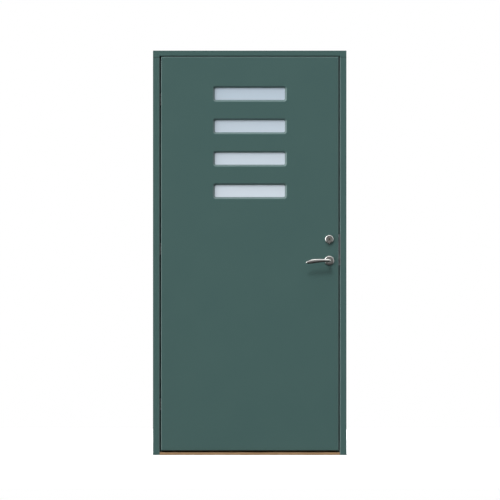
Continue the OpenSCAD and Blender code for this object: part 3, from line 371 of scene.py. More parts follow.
post_paint = frame_paint("satin_paint_on_pine_post", (1, 1, GRAIN_DRAWN))
head_paint = frame_paint("satin_paint_on_pine_head", (GRAIN_DRAWN, 1, 1))
print("hairline at", round(JOINT_Z, 4), "m")

# %% [markdown]
# Oak and pine
# A board is a slice through a trunk, so its figure is one thing seen from two sides: long flames along
# the board and arcs on its ends. Measuring the distance to a pith line that runs along the board below
# it gives both at once. Noise bends the rings, a finer one draws the pores, and the oil leaves the
# late wood darker and a little glossier.

# %% Mix the two woods
BEND_MM = 55
BEND_DRAWN = 0.05
BEND_RINGS = 5
LATE_WOOD = 0.82
PORE_MM = 1.3
PORE_DRAWN = 0.02
PORE_FROM = 0.56
PORE_FULL = 0.7
PORE_COVER = 0.7
PORE_STRENGTH = 0.35
PORE_DEPTH = 0.3 * MM
OAK_RING_MM = 3.4
PINE_RING_MM = 5.5


def sawn_wood(name, early, late, pore, ring_mm, pith, along, shine):
    """Wood whose rings lie round a pith line; along is the axis of its grain, X or Z."""

    def drawn_out(factor):
        return (factor, 1, 1) if along == "X" else (1, 1, factor)

    material, tree = new_material(name)
    place = add_node(tree, "TexCoord").outputs["Object"]
    board = add_node(tree, "Mapping", {"Vector": place, "Scale": drawn_out(BEND_DRAWN)})
    bend = noise(tree, board.outputs[0], BEND_MM)
    across = add_node(tree, "VectorMath", {0: place, 1: drawn_out(0)}, operation="MULTIPLY")
    from_pith = add_node(tree, "VectorMath", {0: across.outputs[0], 1: pith}, operation="SUBTRACT")
    radius = add_node(tree, "VectorMath", {0: from_pith.outputs[0]},
                      operation="LENGTH").outputs["Value"]
    bent = add_node(tree, "Math", {0: bend, 1: BEND_RINGS * ring_mm * MM, 2: radius},
                    operation="MULTIPLY_ADD").outputs[0]
    count = add_node(tree, "Math", {0: bent, 1: per_metre(ring_mm)}, operation="MULTIPLY").outputs[0]
    ring = add_node(tree, "Math", {0: count}, operation="FRACT").outputs[0]
    band = add_node(tree, "ValToRGB", {"Fac": ring})
    band.color_ramp.elements[0].color = linear(early)
    band.color_ramp.elements[1].color = linear(late)
    band.color_ramp.elements[1].position = LATE_WOOD
    band.color_ramp.elements.new(1.0).color = linear(early)
    thin = add_node(tree, "Mapping", {"Vector": place, "Scale": drawn_out(PORE_DRAWN)})
    pores = noise(tree, thin.outputs[0], PORE_MM)
    open_pore = add_node(tree, "MapRange", {0: pores, 1: PORE_FROM, 2: PORE_FULL, 3: 0.0,
                                            4: PORE_COVER}).outputs[0]
    colour = blend(tree, open_pore, band.outputs["Color"], pore)
    gloss = add_node(tree, "MapRange", {0: ring, 3: shine + 0.08, 4: shine - 0.04})
    bump = add_node(tree, "Bump", {"Height": open_pore, "Strength": PORE_STRENGTH,
                                   "Distance": PORE_DEPTH}, invert=True)
    finish_material(tree, {"Base Color": colour, "Roughness": gloss.outputs[0], "IOR": 1.5,
                           "Normal": bump.outputs["Normal"]})
    return material


# oil on planed oak: honey coloured, with dark drawn-out pores and a low sheen
oiled_oak = sawn_wood("oiled_oak", "#9C7E5A", "#886846", "#543D26", OAK_RING_MM,
                      (0, 0.02, -0.11), "X", 0.48)
# planed pine without a finish: pale, wide rings, dull
planed_pine = sawn_wood("planed_pine", "#E2C798", "#C99F63", "#B98C52", PINE_RING_MM,
                        (0.2, 0.1, 0), "Z", 0.62)
print("oak rings of", OAK_RING_MM, "mm, pine rings of", PINE_RING_MM, "mm")

# %% [markdown]
# Steel that was brushed or turned
# Satin stainless gets its look from thousands of fine parallel scratches. They are far thinner than a
# pixel, so they are drawn about half a millimetre wide, which is just enough to break a highlight into
# streaks. On levers and plates they run along the piece. On a rose or a ring the grit was held against
# a turning part, so they run in circles, and the noise reads the distance from the turning axis.

# %% Mix the brushed steels
STEEL = "#CDCBC7"
STEEL_DULL = "#BBB9B5"
SCRATCH_MM = 0.55
SCRATCH_DEPTH = 0.1 * MM
SCRATCH_GLOSS = 0.08


def scratched_metal(tree, lines, bright, dull, rough, strength):
    """Ends a metal whose scratches shift its tone and gloss and stand up a little."""
    colour = blend(tree, lines, dull, bright)
    gloss = add_node(tree, "MapRange", {0: lines, 3: rough + SCRATCH_GLOSS, 4: rough - SCRATCH_GLOSS})
    bump = add_node(tree, "Bump", {"Height": lines, "Strength": strength, "Distance": SCRATCH_DEPTH})
    finish_material(tree, {"Base Color": colour, "Metallic": 1.0, "Roughness": gloss.outputs[0],
                           "Normal": bump.outputs["Normal"]})


def brushed_metal(name, bright, dull, rough, stretch):
    """Metal with straight brushing along the axis that stretch shortens."""
    material, tree = new_material(name)
    place = add_node(tree, "TexCoord").outputs["Object"]
    drawn = add_node(tree, "Mapping", {"Vector": place, "Scale": stretch}).outputs[0]
    lines = noise(tree, drawn, SCRATCH_MM, 3.0)
    scratched_metal(tree, lines, bright, dull, rough, 0.10)
    return material


def turned_metal(name, bright, dull, rough, axis_place):
    """Metal brushed in circles round a line along Y through axis_place."""
    material, tree = new_material(name)
    place = add_node(tree, "TexCoord").outputs["Object"]
    across = add_node(tree, "VectorMath", {0: place, 1: (1, 0, 1)}, operation="MULTIPLY")
    from_axis = add_node(tree, "VectorMath",
                         {0: across.outputs[0], 1: (axis_place.x, 0, axis_place.z)},
                         operation="SUBTRACT")
    radius = add_node(tree, "VectorMath", {0: from_axis.outputs[0]},
                      operation="LENGTH").outputs["Value"]
    lines = add_node(tree, "TexNoise", {"W": radius, "Scale": per_metre(SCRATCH_MM),
                                        "Detail": 3.0}, noise_dimensions="1D").outputs["Fac"]
    scratched_metal(tree, lines, bright, dull, rough, 0.08)
    return material


lever_steel = brushed_metal("satin_brushed_stainless", STEEL, STEEL_DULL, 0.21, (0.04, 1, 1))
plate_steel = brushed_metal("satin_stainless_plate", "#DEE1E2", "#CCD0D1", 0.36, (1, 1, 0.04))
hinge_metal = brushed_metal("satin_plated_casting", "#BFC0BE", "#A9AAA8", 0.36, (0.6, 0.6, 0.5))
strip_metal = brushed_metal("anodised_aluminium", "#C6C8C9", "#B0B2B3", 0.38, (0.02, 1, 1))
rose_steel = turned_metal("turned_stainless_rose", STEEL, STEEL_DULL, 0.26, handle)
ring_steel = turned_metal("turned_stainless_ring", STEEL, STEEL_DULL, 0.26, cylinder)
key_brass = turned_metal("nickel_plated_brass", "#B7B0A2", "#A19A8B", 0.3, cylinder)
print("brushing drawn", SCRATCH_MM, "mm wide")

# %% [markdown]
# Zinc plating on screws, bolts and the lock's inner parts is brighter and bluer than stainless, and
# its thin passivation film drifts between a blue and a straw tint. One soft noise picks the tint and a
# finer one roughens the gloss where the parts tumbled against each other in the bath.

# %% Mix the zinc plating
ZINC_BLUE = "#B9C0C6"
ZINC_STRAW = "#C9C4B2"
FILM_MM = 14
DENT_MM = 1.2

zinc, tree = new_material("bright_zinc_plating")
place = add_node(tree, "TexCoord").outputs["Object"]
film = noise(tree, place, FILM_MM, 3.0)
dents = noise(tree, place, DENT_MM)
tint = blend(tree, film, ZINC_BLUE, ZINC_STRAW)
gloss = add_node(tree, "MapRange", {0: dents, 3: 0.22, 4: 0.42})
bump = add_node(tree, "Bump", {"Height": dents, "Strength": 0.08, "Distance": SCRATCH_DEPTH})
finish_material(tree, {"Base Color": tint, "Metallic": 1.0, "Roughness": gloss.outputs[0],
                       "Normal": bump.outputs["Normal"]})
print("zinc film drifts over", FILM_MM, "mm, dents are", DENT_MM, "mm wide")

# %% [markdown]
# Rubber, foam and the dark spacer bar
# The seals are extruded rubber: matt, nearly black, with a faint grain from the die and a bloom that
# greys it in patches. The spacer bar between the panes is finely perforated and the foam core is a
# closed-cell board, and a Voronoi pattern draws both. Nobody sees the core in a finished door, but it
# shows when the door is taken apart on screen. All three are one matt recipe, so they share a function.

# %% Mix rubber, foam and spacer
PATCH_MM = 45
CELL_DEPTH = 0.4 * MM
CELL_GLOSS = 0.08


def dull_stuff(name, dark, light, rough, cell_mm, cells, bump_strength):
    """A matt material whose gloss and surface follow one small pattern, and whose tone drifts in patches.
    """
    material, tree = new_material(name)
    place = add_node(tree, "TexCoord").outputs["Object"]
    kind, output = ("TexVoronoi", "Distance") if cells else ("TexNoise", "Fac")
    pattern = add_node(tree, kind, {"Vector": place, "Scale": per_metre(cell_mm)}).outputs[output]
    colour = blend(tree, noise(tree, place, PATCH_MM), dark, light)
    gloss = add_node(tree, "MapRange", {0: pattern, 3: rough - CELL_GLOSS, 4: rough + CELL_GLOSS})
    bump = add_node(tree, "Bump", {"Height": pattern, "Strength": bump_strength,
                                   "Distance": CELL_DEPTH})
    finish_material(tree, {"Base Color": colour, "Roughness": gloss.outputs[0], "IOR": 1.5,
                           "Normal": bump.outputs["Normal"]})
    return material


seal_rubber = dull_stuff("extruded_black_rubber", "#161818", "#232626", 0.72, 1.0, False, 0.3)
spacer_bar = dull_stuff("dark_spacer_bar", "#1B1E1F", "#26292A", 0.55, 2.4, True, 0.5)
core_foam = dull_stuff("rigid_foam_board", "#E2DCC8", "#EFEADB", 0.85, 3.0, True, 0.6)
print("three dull materials with patches of", PATCH_MM, "mm")

# %% [markdown]
# Acid-etched glass
# The four panes are obscured: acid has eaten one face into a fine frost, so light comes through but no
# picture does. In the photograph they are an even pale blue-grey that whitens from the top pane to the
# bottom one. The frost is a white body that lets a little light through, with a soft gloss over it. The
# whitening is painted light: the colour reads the height on the door and is paler towards the bottom.

# %% Mix the glass
GLASS_TOP = "#C1CFDB"
GLASS_LOW = "#D9E2EA"
GLASS_IOR = 1.52
SEE_THROUGH = 0.12
FROST_MM = 1.6
FROST_STRENGTH = 0.15
FROST_DEPTH = 0.2 * MM
PANES_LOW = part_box("panes_4")[0].z
PANES_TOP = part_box("panes_1")[1].z

etched_glass, tree = new_material("acid_etched_glass")
place = add_node(tree, "TexCoord").outputs["Object"]
height = add_node(tree, "SeparateXYZ", {0: place}).outputs["Z"]
# painted light: the panes' colour is paler the lower they sit on the door
rise = add_node(tree, "MapRange", {0: height, 1: PANES_LOW, 2: PANES_TOP}).outputs[0]
colour = blend(tree, rise, GLASS_LOW, GLASS_TOP)
frost = noise(tree, place, FROST_MM, 3.0)
gloss = add_node(tree, "MapRange", {0: frost, 3: 0.34, 4: 0.5})
bump = add_node(tree, "Bump", {"Height": frost, "Strength": FROST_STRENGTH, "Distance": FROST_DEPTH})
finish_material(tree, {"Base Color": colour, "Roughness": gloss.outputs[0], "IOR": GLASS_IOR,
                       "Transmission Weight": SEE_THROUGH, "Normal": bump.outputs["Normal"]})
print("glass from", round(PANES_LOW, 3), "to", round(PANES_TOP, 3), "m")

# %% [markdown]
# Dress the CAD parts
# Every CAD part keeps its shape here and only changes its material slot. A table from finish to parts
# is easy to read and makes a forgotten part obvious, so the cell also prints what is left over.

# %% Give each part its finish
finishes = {
    door_paint: ["outer_skin", "inner_skin"]
    + [f"{side}_window_frame_{i}" for side in ("outer", "inner") for i in WINDOWS],
    post_paint: ["hinge_jamb", "lock_jamb", "sleeve_caps", "hinge_stile", "lock_stile"],
    head_paint: ["head_jamb", "top_rail", "bottom_rail"],
    oiled_oak: ["threshold"],
    planed_pine: ["window_block"],
    core_foam: ["insulation_core"],
    seal_rubber: ["frame_seal", "threshold_seal", "glazing_tape"],
    spacer_bar: ["glass_spacers"],
    etched_glass: [f"panes_{i}" for i in WINDOWS],
    strip_metal: ["threshold_strip"],
    plate_steel: ["strike_plate", "lock_front"],
    lever_steel: ["outer_lever", "inner_lever", "thumbturn"],
    rose_steel: ["outer_rose", "inner_rose"],
    ring_steel: ["cylinder_ring", "cylinder_body", "thumbturn_ring"],
    hinge_metal: ["frame_cups", "leaf_cups", "frame_arms", "leaf_arms"],
    key_brass: ["cylinder_plug"],
    zinc: ["strike_screws", "fixing_sleeves", "corner_screws", "frame_cup_screws",
           "frame_cup_pins", "leaf_cup_screws", "leaf_cup_pins", "lock_case", "lock_front_screws",
           "through_bolts", "handle_spindle", "follower", "latch_bolt", "dead_bolt", "bolt_cam"],
}
dressed = set()
for material, nodes in finishes.items():
    for name in nodes:
        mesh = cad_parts[name].data
        mesh.materials.clear()
        mesh.materials.append(material)
        dressed.add(name)
print("dressed", len(dressed), "left over", sorted(set(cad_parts) - dressed))

# %% [markdown]
# Working like a modeller
# The pieces below start as primitives and are shaped in edit mode. Small helpers stand in for the
# mouse. They start a primitive with nothing else selected, select faces by where they are and which way
# they look, and pull, scale and close them. Numbers decide instead of a hand, so that the same piece
# comes out each time.

# %% Define the modelling helpers
DOUBLES = 0.01 * MM


def take(*pieces):
    """Selects these pieces and nothing else; the last one is the active one."""
    bpy.ops.object.select_all(action="DESELECT")
    for piece in pieces:
        piece.select_set(True)
    bpy.context.view_layer.objects.active = pieces[-1]


def begin(operator, **options):
    """Adds a primitive with nothing else selected, in edit mode, with its place in its mesh."""
    bpy.ops.object.select_all(action="DESELECT")
    operator(**options)
    bpy.ops.object.transform_apply(location=True, rotation=True, scale=True)
    bpy.ops.object.mode_set(mode="EDIT")
    bpy.ops.mesh.select_mode(type="FACE")
    return bpy.context.object


def pick(piece, test):
    """Selects the faces whose middle and normal pass the test, and nothing else."""
    bpy.ops.mesh.select_all(action="DESELECT")
    mesh = bmesh.from_edit_mesh(piece.data)
    for face in mesh.faces:
        if test(face.calc_center_median(), face.normal):
            face.select_set(True)
    bmesh.update_edit_mesh(piece.data)


def extrude(shift):
    """Pulls the selected faces out by a shift."""
    bpy.ops.mesh.extrude_region_move(TRANSFORM_OT_translate={"value": tuple(shift)})


def shrink(factors, centre):
    """Scales the selection about a centre."""
    bpy.ops.transform.resize(value=factors, center_override=tuple(centre))


def apply_modifier(piece, kind, **settings):
    """Adds a modifier with its settings and applies it."""
    modifier = piece.modifiers.new(kind.lower(), kind)
    for name, value in settings.items():
        setattr(modifier, name, value)
    bpy.ops.object.modifier_apply(modifier=modifier.name)


def bridge_ends(piece):
    """Closes a shell by a bridge between its two open ends."""
    bpy.ops.mesh.select_all(action="DESELECT")
    mesh = bmesh.from_edit_mesh(piece.data)
    for edge in mesh.edges:
        edge.select_set(edge.is_boundary)
    bmesh.update_edit_mesh(piece.data)
    bpy.ops.mesh.bridge_edge_loops()


def close_edit(piece, smooth_angle=35):
    """Merges doubles, turns the faces outwards, leaves edit mode and smooths the soft edges."""
    bpy.ops.mesh.select_all(action="SELECT")
    bpy.ops.mesh.remove_doubles(threshold=DOUBLES)
    bpy.ops.mesh.normals_make_consistent(inside=False)
    bpy.ops.object.mode_set(mode="OBJECT")
    bpy.ops.object.shade_smooth_by_angle(angle=math.radians(smooth_angle))
    return piece


quarter = (math.radians(90), 0, 0)
mid_y = (face_out + face_in) / 2
print("the leaf's middle plane is at", round(mid_y, 4))

# %% [markdown]
# The inside of the door carries the mirror image of the outside's fittings, so a copy is mirrored about
# the leaf's middle plane. A finished piece gets its name and its finish, and then it is tied to the CAD
# body that carries it, so that it moves with that body and takes the place of the plainer CAD node.

# %% Define copying and handing over


def hand_over(piece, name, material, slot, body, *nodes):
    """Names a finished piece, dresses it and fixes it to its CAD body in place of some nodes."""
    piece.name = name
    piece.data.name = name
    piece.data.materials.clear()
    piece.data.materials.append(material)
    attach(piece, body)
    if nodes:
        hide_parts(*nodes)
    print(name, len(piece.data.polygons), "faces")


def copy_of(piece, mirror_y=None):
    """A copy with its own mesh, mirrored about a plane across Y where one is given."""
    twin = piece.copy()
    twin.data = piece.data.copy()
    scene.collection.objects.link(twin)
    take(twin)
    if mirror_y is not None:
        bpy.ops.object.mode_set(mode="EDIT")
        bpy.ops.mesh.select_all(action="SELECT")
        bpy.ops.transform.resize(value=(1, -1, 1), center_override=(0, mirror_y, 0))
        bpy.ops.mesh.normals_make_consistent(inside=False)
        bpy.ops.object.mode_set(mode="OBJECT")
    return twin


print("outside and inside are", round((face_in - face_out) / MM, 1), "mm apart")

# %% [markdown]
# The lever
# A lever like this is forged: a round neck turns a corner into a slim blade that widens, droops and
# thins towards its tip. A string of flattened balls gives only its bulk. In Blender it is a box whose
# end face is pulled out station by station, and a subdivision surface rounds the whole cage. Such a
# surface lies about 7 percent inside its cage, so the cage is made that much larger.

# %% Model the outside lever
CAGE = 1.075
REACH = face_out - (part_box("outer_lever")[0].y + 8 * MM)
# half the width, depth and height of the corner where neck and blade meet
CORNER = Vector((8.4, 8.2, 8.8)) * MM
# the neck's loops lie this far behind the corner, and it ends just off the leaf
NECK = (16 * MM, 30 * MM, REACH - 0.5 * MM)
NECK_END_INSET = 0.6 * MM
# distance from the handle's axis, height of the middle, half the depth, half the height, in mm
STATIONS = [(9, 0.5, 7.6, 8.2), (22, 0.5, 6.9, 8.1), (40, 0.1, 6.3, 8.9), (58, -1.1, 5.9, 10.2),
            (76, -2.8, 5.5, 11.3), (90, -4.7, 5.1, 11.5), (102, -6.9, 4.7, 10.0), (111, -8.9, 4.3, 7.4),
            (117.5, -10.2, 3.6, 4.6), (120.6, -10.7, 2.2, 2.4)]
grip = Vector((handle.x, face_out - REACH, handle.z))

lever = begin(bpy.ops.mesh.primitive_cube_add, size=2, location=grip, scale=CORNER)
pick(lever, lambda place, normal: normal.x < -0.9)
at, size = Vector((grip.x - CORNER.x, grip.y, grip.z)), (CORNER.y, CORNER.z)
for along, rise, deep, tall in STATIONS:
    target = grip + Vector((-along, 0, rise)) * MM
    extrude(target - at)
    deep, tall = deep * MM * CAGE, tall * MM * CAGE
    shrink((1, deep / size[0], tall / size[1]), target)
    at, size = target, (deep, tall)
pick(lever, lambda place, normal: normal.y > 0.9 and abs(place.x - grip.x) < CORNER.x)
back = CORNER.y
for station in NECK:
    extrude((0, station - back, 0))
    back = station
bpy.ops.mesh.inset(thickness=NECK_END_INSET)
close_edit(lever)
apply_modifier(lever, "SUBSURF", levels=3, render_levels=3)
bpy.ops.object.shade_smooth()
inside_lever = copy_of(lever, mid_y)
hand_over(lever, "forged_lever_outside", lever_steel, "stainless", "handle", "outer_lever")
hand_over(inside_lever, "forged_lever_inside", lever_steel, "stainless", "handle", "inner_lever")
low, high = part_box("outer_lever")
seen = [Vector(corner) for corner in lever.bound_box]
print("lever box off by", [round((min(c[i] for c in seen) - low[i]) / MM, 2) for i in range(3)],
      [round((max(c[i] for c in seen) - high[i]) / MM, 2) for i in range(3)], "mm")

# %% [markdown]
# Under each neck sits the small socket screw that clamps the lever on its square bar. It stands out by
# a millimetre and is the one thing that gives the handle away as a real fitting when it is seen from
# below. A short cylinder does it: its face is drawn in to a low step and pushed back in for the socket,
# which is left round because its six sides are too small to see.

# %% Add the clamp screws
CLAMP_OUT = 20 * MM
CLAMP_DROP = 7.9 * MM
CLAMP_R = 2.5 * MM
CLAMP_T = 2 * MM
STEP_W = 0.3 * MM
STEP_T = 0.2 * MM
SOCKET_WALL = 0.8 * MM
SOCKET_DEEP = 1.2 * MM

clamp = begin(bpy.ops.mesh.primitive_cylinder_add, vertices=24, radius=CLAMP_R, depth=CLAMP_T,
              location=(handle.x, face_out - CLAMP_OUT, handle.z - CLAMP_DROP))
pick(clamp, lambda place, normal: normal.z < -0.9)
bpy.ops.mesh.inset(thickness=STEP_W)
extrude((0, 0, -STEP_T))
bpy.ops.mesh.inset(thickness=SOCKET_WALL)
extrude((0, 0, SOCKET_DEEP))
close_edit(clamp)
inside_clamp = copy_of(clamp, mid_y)
hand_over(clamp, "clamp_screw_outside", zinc, "zinc", "handle")
hand_over(inside_clamp, "clamp_screw_inside", zinc, "zinc", "handle")

# %% [markdown]
# Roses
# A rose is a spun cap: a hole for the neck, a face that falls away slightly, a rounded rim and a skirt
# that stands on the paint. A drawn profile could be spun, but one circle that is pulled out and widened
# from station to station needs no drawing. The last ring is bridged back to the first, so that the
# shell is closed.

# %% Spin the roses
# radius and distance from the leaf's face, in mm
ROSE_PROFILE = [(8.3, 0.0), (8.3, 7.5), (8.7, 7.95), (10, 8.0), (14, 7.85), (18, 7.55), (20.2, 7.3),
                (21.3, 7.05), (22.4, 6.55), (23.4, 5.8), (24.2, 4.8), (24.75, 3.6), (25.0, 2.3),
                (25.0, 0.0)]


def spun_cap(profile, centre, face, away):
    """A closed ring spun from radius and height stations, standing on a face towards away."""
    radius, height = profile[0]
    ring = begin(bpy.ops.mesh.primitive_circle_add, vertices=96, radius=radius * MM,
                 location=(centre.x, face + away * height * MM, centre.z), rotation=quarter)
    bpy.ops.mesh.select_mode(type="EDGE")
    bpy.ops.mesh.select_all(action="SELECT")
    for wide, high_up in profile[1:]:
        extrude((0, away * (high_up - height) * MM, 0))
        shrink((wide / radius, 1, wide / radius), (centre.x, face + away * high_up * MM, centre.z))
        radius, height = wide, high_up
    bridge_ends(ring)
    return close_edit(ring, 30)


rose = spun_cap(ROSE_PROFILE, handle, face_out, -1)
inside_rose = copy_of(rose, mid_y)
hand_over(rose, "spun_rose_outside", rose_steel, "stainless", "leaf", "outer_rose")
hand_over(inside_rose, "spun_rose_inside", rose_steel, "stainless", "leaf", "inner_rose")

# %% [markdown]
# Glazing beads
# A window frame's sides slope in and then run straight down to the glass. The bead is the small painted
# strip that closes that corner all round and carries the slope on to the pane. It could be cut from a
# box by a smaller one, but a rounded loop that is pulled in and back from station to station, like the
# rose, keeps its corners even. Each window gets one outside and its mirror image inside.

# %% Lay the glazing beads
BEAD_W = 2.6 * MM
BEAD_T = 3.9 * MM
BEAD_LIP = 0.9 * MM
SIGHT_IN = 8.2 * MM
SIGHT_R = 8 * MM
pane_low, pane_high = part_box("panes_1")


def glazing_bead(window):
    """A closed bead round the glass, inside the straight wall of a window frame."""
    low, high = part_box(window)
    centre, size = (low + high) / 2, high - low
    wide, tall = size.x - 2 * SIGHT_IN, size.z - 2 * SIGHT_IN
    start = Vector((centre.x, pane_low.y - BEAD_T, centre.z))
    bead = begin(bpy.ops.mesh.primitive_plane_add, size=1, location=start, rotation=quarter)
    shrink((wide, 1, tall), start)
    bpy.ops.mesh.select_mode(type="VERT")
    bpy.ops.mesh.select_all(action="SELECT")
    bpy.ops.mesh.bevel(offset=SIGHT_R, segments=10, affect="VERTICES")
    bpy.ops.mesh.delete(type="ONLY_FACE")
    bpy.ops.mesh.select_mode(type="EDGE")
    bpy.ops.mesh.select_all(action="SELECT")
    inner = (1 - 2 * BEAD_W / wide, 1, 1 - 2 * BEAD_W / tall)
    for back, factors in ((BEAD_T - BEAD_LIP, inner), (BEAD_LIP, (1, 1, 1)),
                          (0, (1 / inner[0], 1, 1 / inner[2]))):
        extrude((0, back, 0))
        shrink(factors, centre)
    bridge_ends(bead)
    return close_edit(bead, 30)


for i in WINDOWS:
    bead = glazing_bead(f"outer_window_frame_{i}")
    inside_bead = copy_of(bead, (pane_low.y + pane_high.y) / 2)
    hand_over(bead, f"glazing_bead_outside_{i}", door_paint, "door_paint", "leaf")
    hand_over(inside_bead, f"glazing_bead_inside_{i}", door_paint, "door_paint", "leaf")

# %% [markdown]
# The cylinder's guard ring
# The guard is a forged drop: a round ring with a short point below, where it covers a screw. Two
# cylinders of different size under one convex hull give its outline at once, with no tangent to work
# out. The front edge is bevelled in several steps so that it catches light all the way round, and a
# bore is cut for the cylinder.

# %% Forge the guard rings
RING_R = 22 * MM
POINT_R = 8 * MM
POINT_DROP = 18 * MM
RING_T = 12 * MM
RING_ROLL = 5.5 * MM
BORE_R = 15.5 * MM

guard = begin(bpy.ops.mesh.primitive_cylinder_add, vertices=96, radius=RING_R, depth=RING_T,
              location=(cylinder.x, face_out - RING_T / 2, cylinder.z), rotation=quarter)
bpy.ops.mesh.primitive_cylinder_add(vertices=48, radius=POINT_R, depth=RING_T,
                                    location=(cylinder.x, face_out - RING_T / 2,
                                              cylinder.z - POINT_DROP), rotation=quarter)
bpy.ops.mesh.select_all(action="SELECT")
bpy.ops.mesh.convex_hull()
bpy.ops.mesh.dissolve_limited(angle_limit=math.radians(0.5))
pick(guard, lambda place, normal: normal.y < -0.9)
bpy.ops.mesh.bevel(offset=RING_ROLL, offset_type="OFFSET", segments=6, profile=0.5, affect="EDGES")
close_edit(guard)
bpy.ops.object.select_all(action="DESELECT")
bpy.ops.mesh.primitive_cylinder_add(vertices=96, radius=BORE_R, depth=3 * RING_T,
                                    location=(cylinder.x, face_out, cylinder.z), rotation=quarter)
bore = bpy.context.object
take(guard)
apply_modifier(guard, "BOOLEAN", operation="DIFFERENCE", object=bore, solver="EXACT")
bpy.data.objects.remove(bore)
bpy.ops.object.shade_smooth_by_angle(angle=math.radians(35))
inside_guard = copy_of(guard, mid_y)
hand_over(guard, "forged_guard_outside", ring_steel, "stainless", "leaf", "cylinder_ring")
hand_over(inside_guard, "forged_guard_inside", ring_steel, "stainless", "leaf", "thumbturn_ring")

# %% [markdown]
# The inside guard has no cylinder to close it. There a flat disc fills the bore and leaves a hole for
# the thumbturn's stem. It is spun like the rose, because its rim and its hole want the same soft edge.

# %% Spin the disc in the inside guard
# radius and distance from the leaf's face, in mm
DISC_PROFILE = [(5.3, 0.0), (5.3, 8.7), (5.6, 9.0), (14.9, 9.0), (15.5, 8.6), (15.7, 0.0)]
disc = spun_cap(DISC_PROFILE, cylinder, face_in, 1)
hand_over(disc, "thumbturn_disc", ring_steel, "stainless", "leaf", "thumbturn_ring")

# %% [markdown]
# The thumbturn
# On the inside the bolt is thrown by a thumbturn: a round collar on a stem and an upright wing that two
# fingers grip. Collar and stem are turned from one bar, so one cylinder with a softened front edge is
# enough, and its back is drawn in and pulled out to be the stem.

# %% Model the collar and its stem
COLLAR_R = 11 * MM
COLLAR_T = 5 * MM
COLLAR_SOFT = 1.2 * MM
COLLAR_FACE = face_in + 9.3 * MM
STEM_R = 4.9 * MM
STEM_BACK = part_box("thumbturn")[0].y + 0.2 * MM

turn = begin(bpy.ops.mesh.primitive_cylinder_add, vertices=64, radius=COLLAR_R, depth=COLLAR_T,
             location=(cylinder.x, COLLAR_FACE + COLLAR_T / 2, cylinder.z), rotation=quarter)
pick(turn, lambda place, normal: normal.y > 0.9)
bpy.ops.mesh.bevel(offset=COLLAR_SOFT, segments=3, affect="EDGES")
pick(turn, lambda place, normal: normal.y < -0.9)
bpy.ops.mesh.inset(thickness=COLLAR_R - STEM_R)
extrude((0, STEM_BACK - COLLAR_FACE, 0))
close_edit(turn)
print("stem", round((COLLAR_FACE - STEM_BACK) / MM, 1), "mm long")

# %% [markdown]
# The wing is a block with rounded edges, pinched in the middle where the fingers lie. Sculpting would
# leave it lumpy, so a few cuts across it and one narrowing do it, and then a bevel and one round of
# subdivision soften it.

# %% Model the wing and join it
WING_LOW = COLLAR_FACE + 4 * MM
WING_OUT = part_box("thumbturn")[1].y - WING_LOW
WING_W = 9 * MM
WING_H = 36 * MM
WING_SOFT = 2.4 * MM
GRIP_HALF = 4 * MM
GRIP_FROM = 0.3
GRIP_WIDTH = 0.8

wing = begin(bpy.ops.mesh.primitive_cube_add, size=1, scale=(WING_W, WING_OUT, WING_H),
             location=(cylinder.x, WING_LOW + WING_OUT / 2, cylinder.z))
for cut_z in (-11 * MM, -GRIP_HALF, GRIP_HALF, 11 * MM):
    bpy.ops.mesh.select_all(action="SELECT")
    bpy.ops.mesh.bisect(plane_co=(cylinder.x, 0, cylinder.z + cut_z), plane_no=(0, 0, 1))
for cut_y in (0.35 * WING_OUT, 0.7 * WING_OUT):
    bpy.ops.mesh.select_all(action="SELECT")
    bpy.ops.mesh.bisect(plane_co=(0, WING_LOW + cut_y, 0), plane_no=(0, 1, 0))
pick(wing, lambda place, normal: abs(normal.x) > 0.9 and abs(place.z - cylinder.z) < GRIP_HALF
     and place.y > WING_LOW + GRIP_FROM * WING_OUT)
shrink((GRIP_WIDTH, 1, 1), cylinder)
close_edit(wing, 60)
apply_modifier(wing, "BEVEL", width=WING_SOFT, segments=4, limit_method="ANGLE",
               angle_limit=math.radians(50))
apply_modifier(wing, "SUBSURF", levels=1, render_levels=1)
bpy.ops.object.shade_smooth_by_angle(angle=math.radians(40))
take(wing, turn)
bpy.ops.object.join()
hand_over(turn, "thumbturn_wing", lever_steel, "stainless", "thumbturn", "thumbturn")

# %% [markdown]
# Screws
# Countersunk screws hold the strike plate, the lock's front, the hinges and the frame's corners. What
# shows is a flat head with a cross recess. One screw is modelled head up at the origin: a disc, a cone
# that narrows to the shank, ridges for the thread, a point, and a cross cut out of the head. A longer one
# holds the corners. Then they are copied to every place that the CAD uses, each along its own axis.

# %% Model a short and a long screw
HEAD_R = 4.0 * MM
HEAD_EDGE = 0.4 * MM
SHANK_R = 2.0 * MM
CROSS_W = 1.3 * MM
CROSS_L = 4.8 * MM
CROSS_DEEP = 2.0 * MM


def cut_cross(piece):
    """Cuts a cross recess into a head that lies at height zero and looks up."""
    for wide, long in ((CROSS_W, CROSS_L), (CROSS_L, CROSS_W)):
        bpy.ops.object.select_all(action="DESELECT")
        bpy.ops.mesh.primitive_cube_add(size=1, scale=(wide, long, 2 * CROSS_DEEP))
        cutter = bpy.context.object
        take(piece)
        apply_modifier(piece, "BOOLEAN", operation="DIFFERENCE", object=cutter, solver="EXACT")
        bpy.data.objects.remove(cutter)


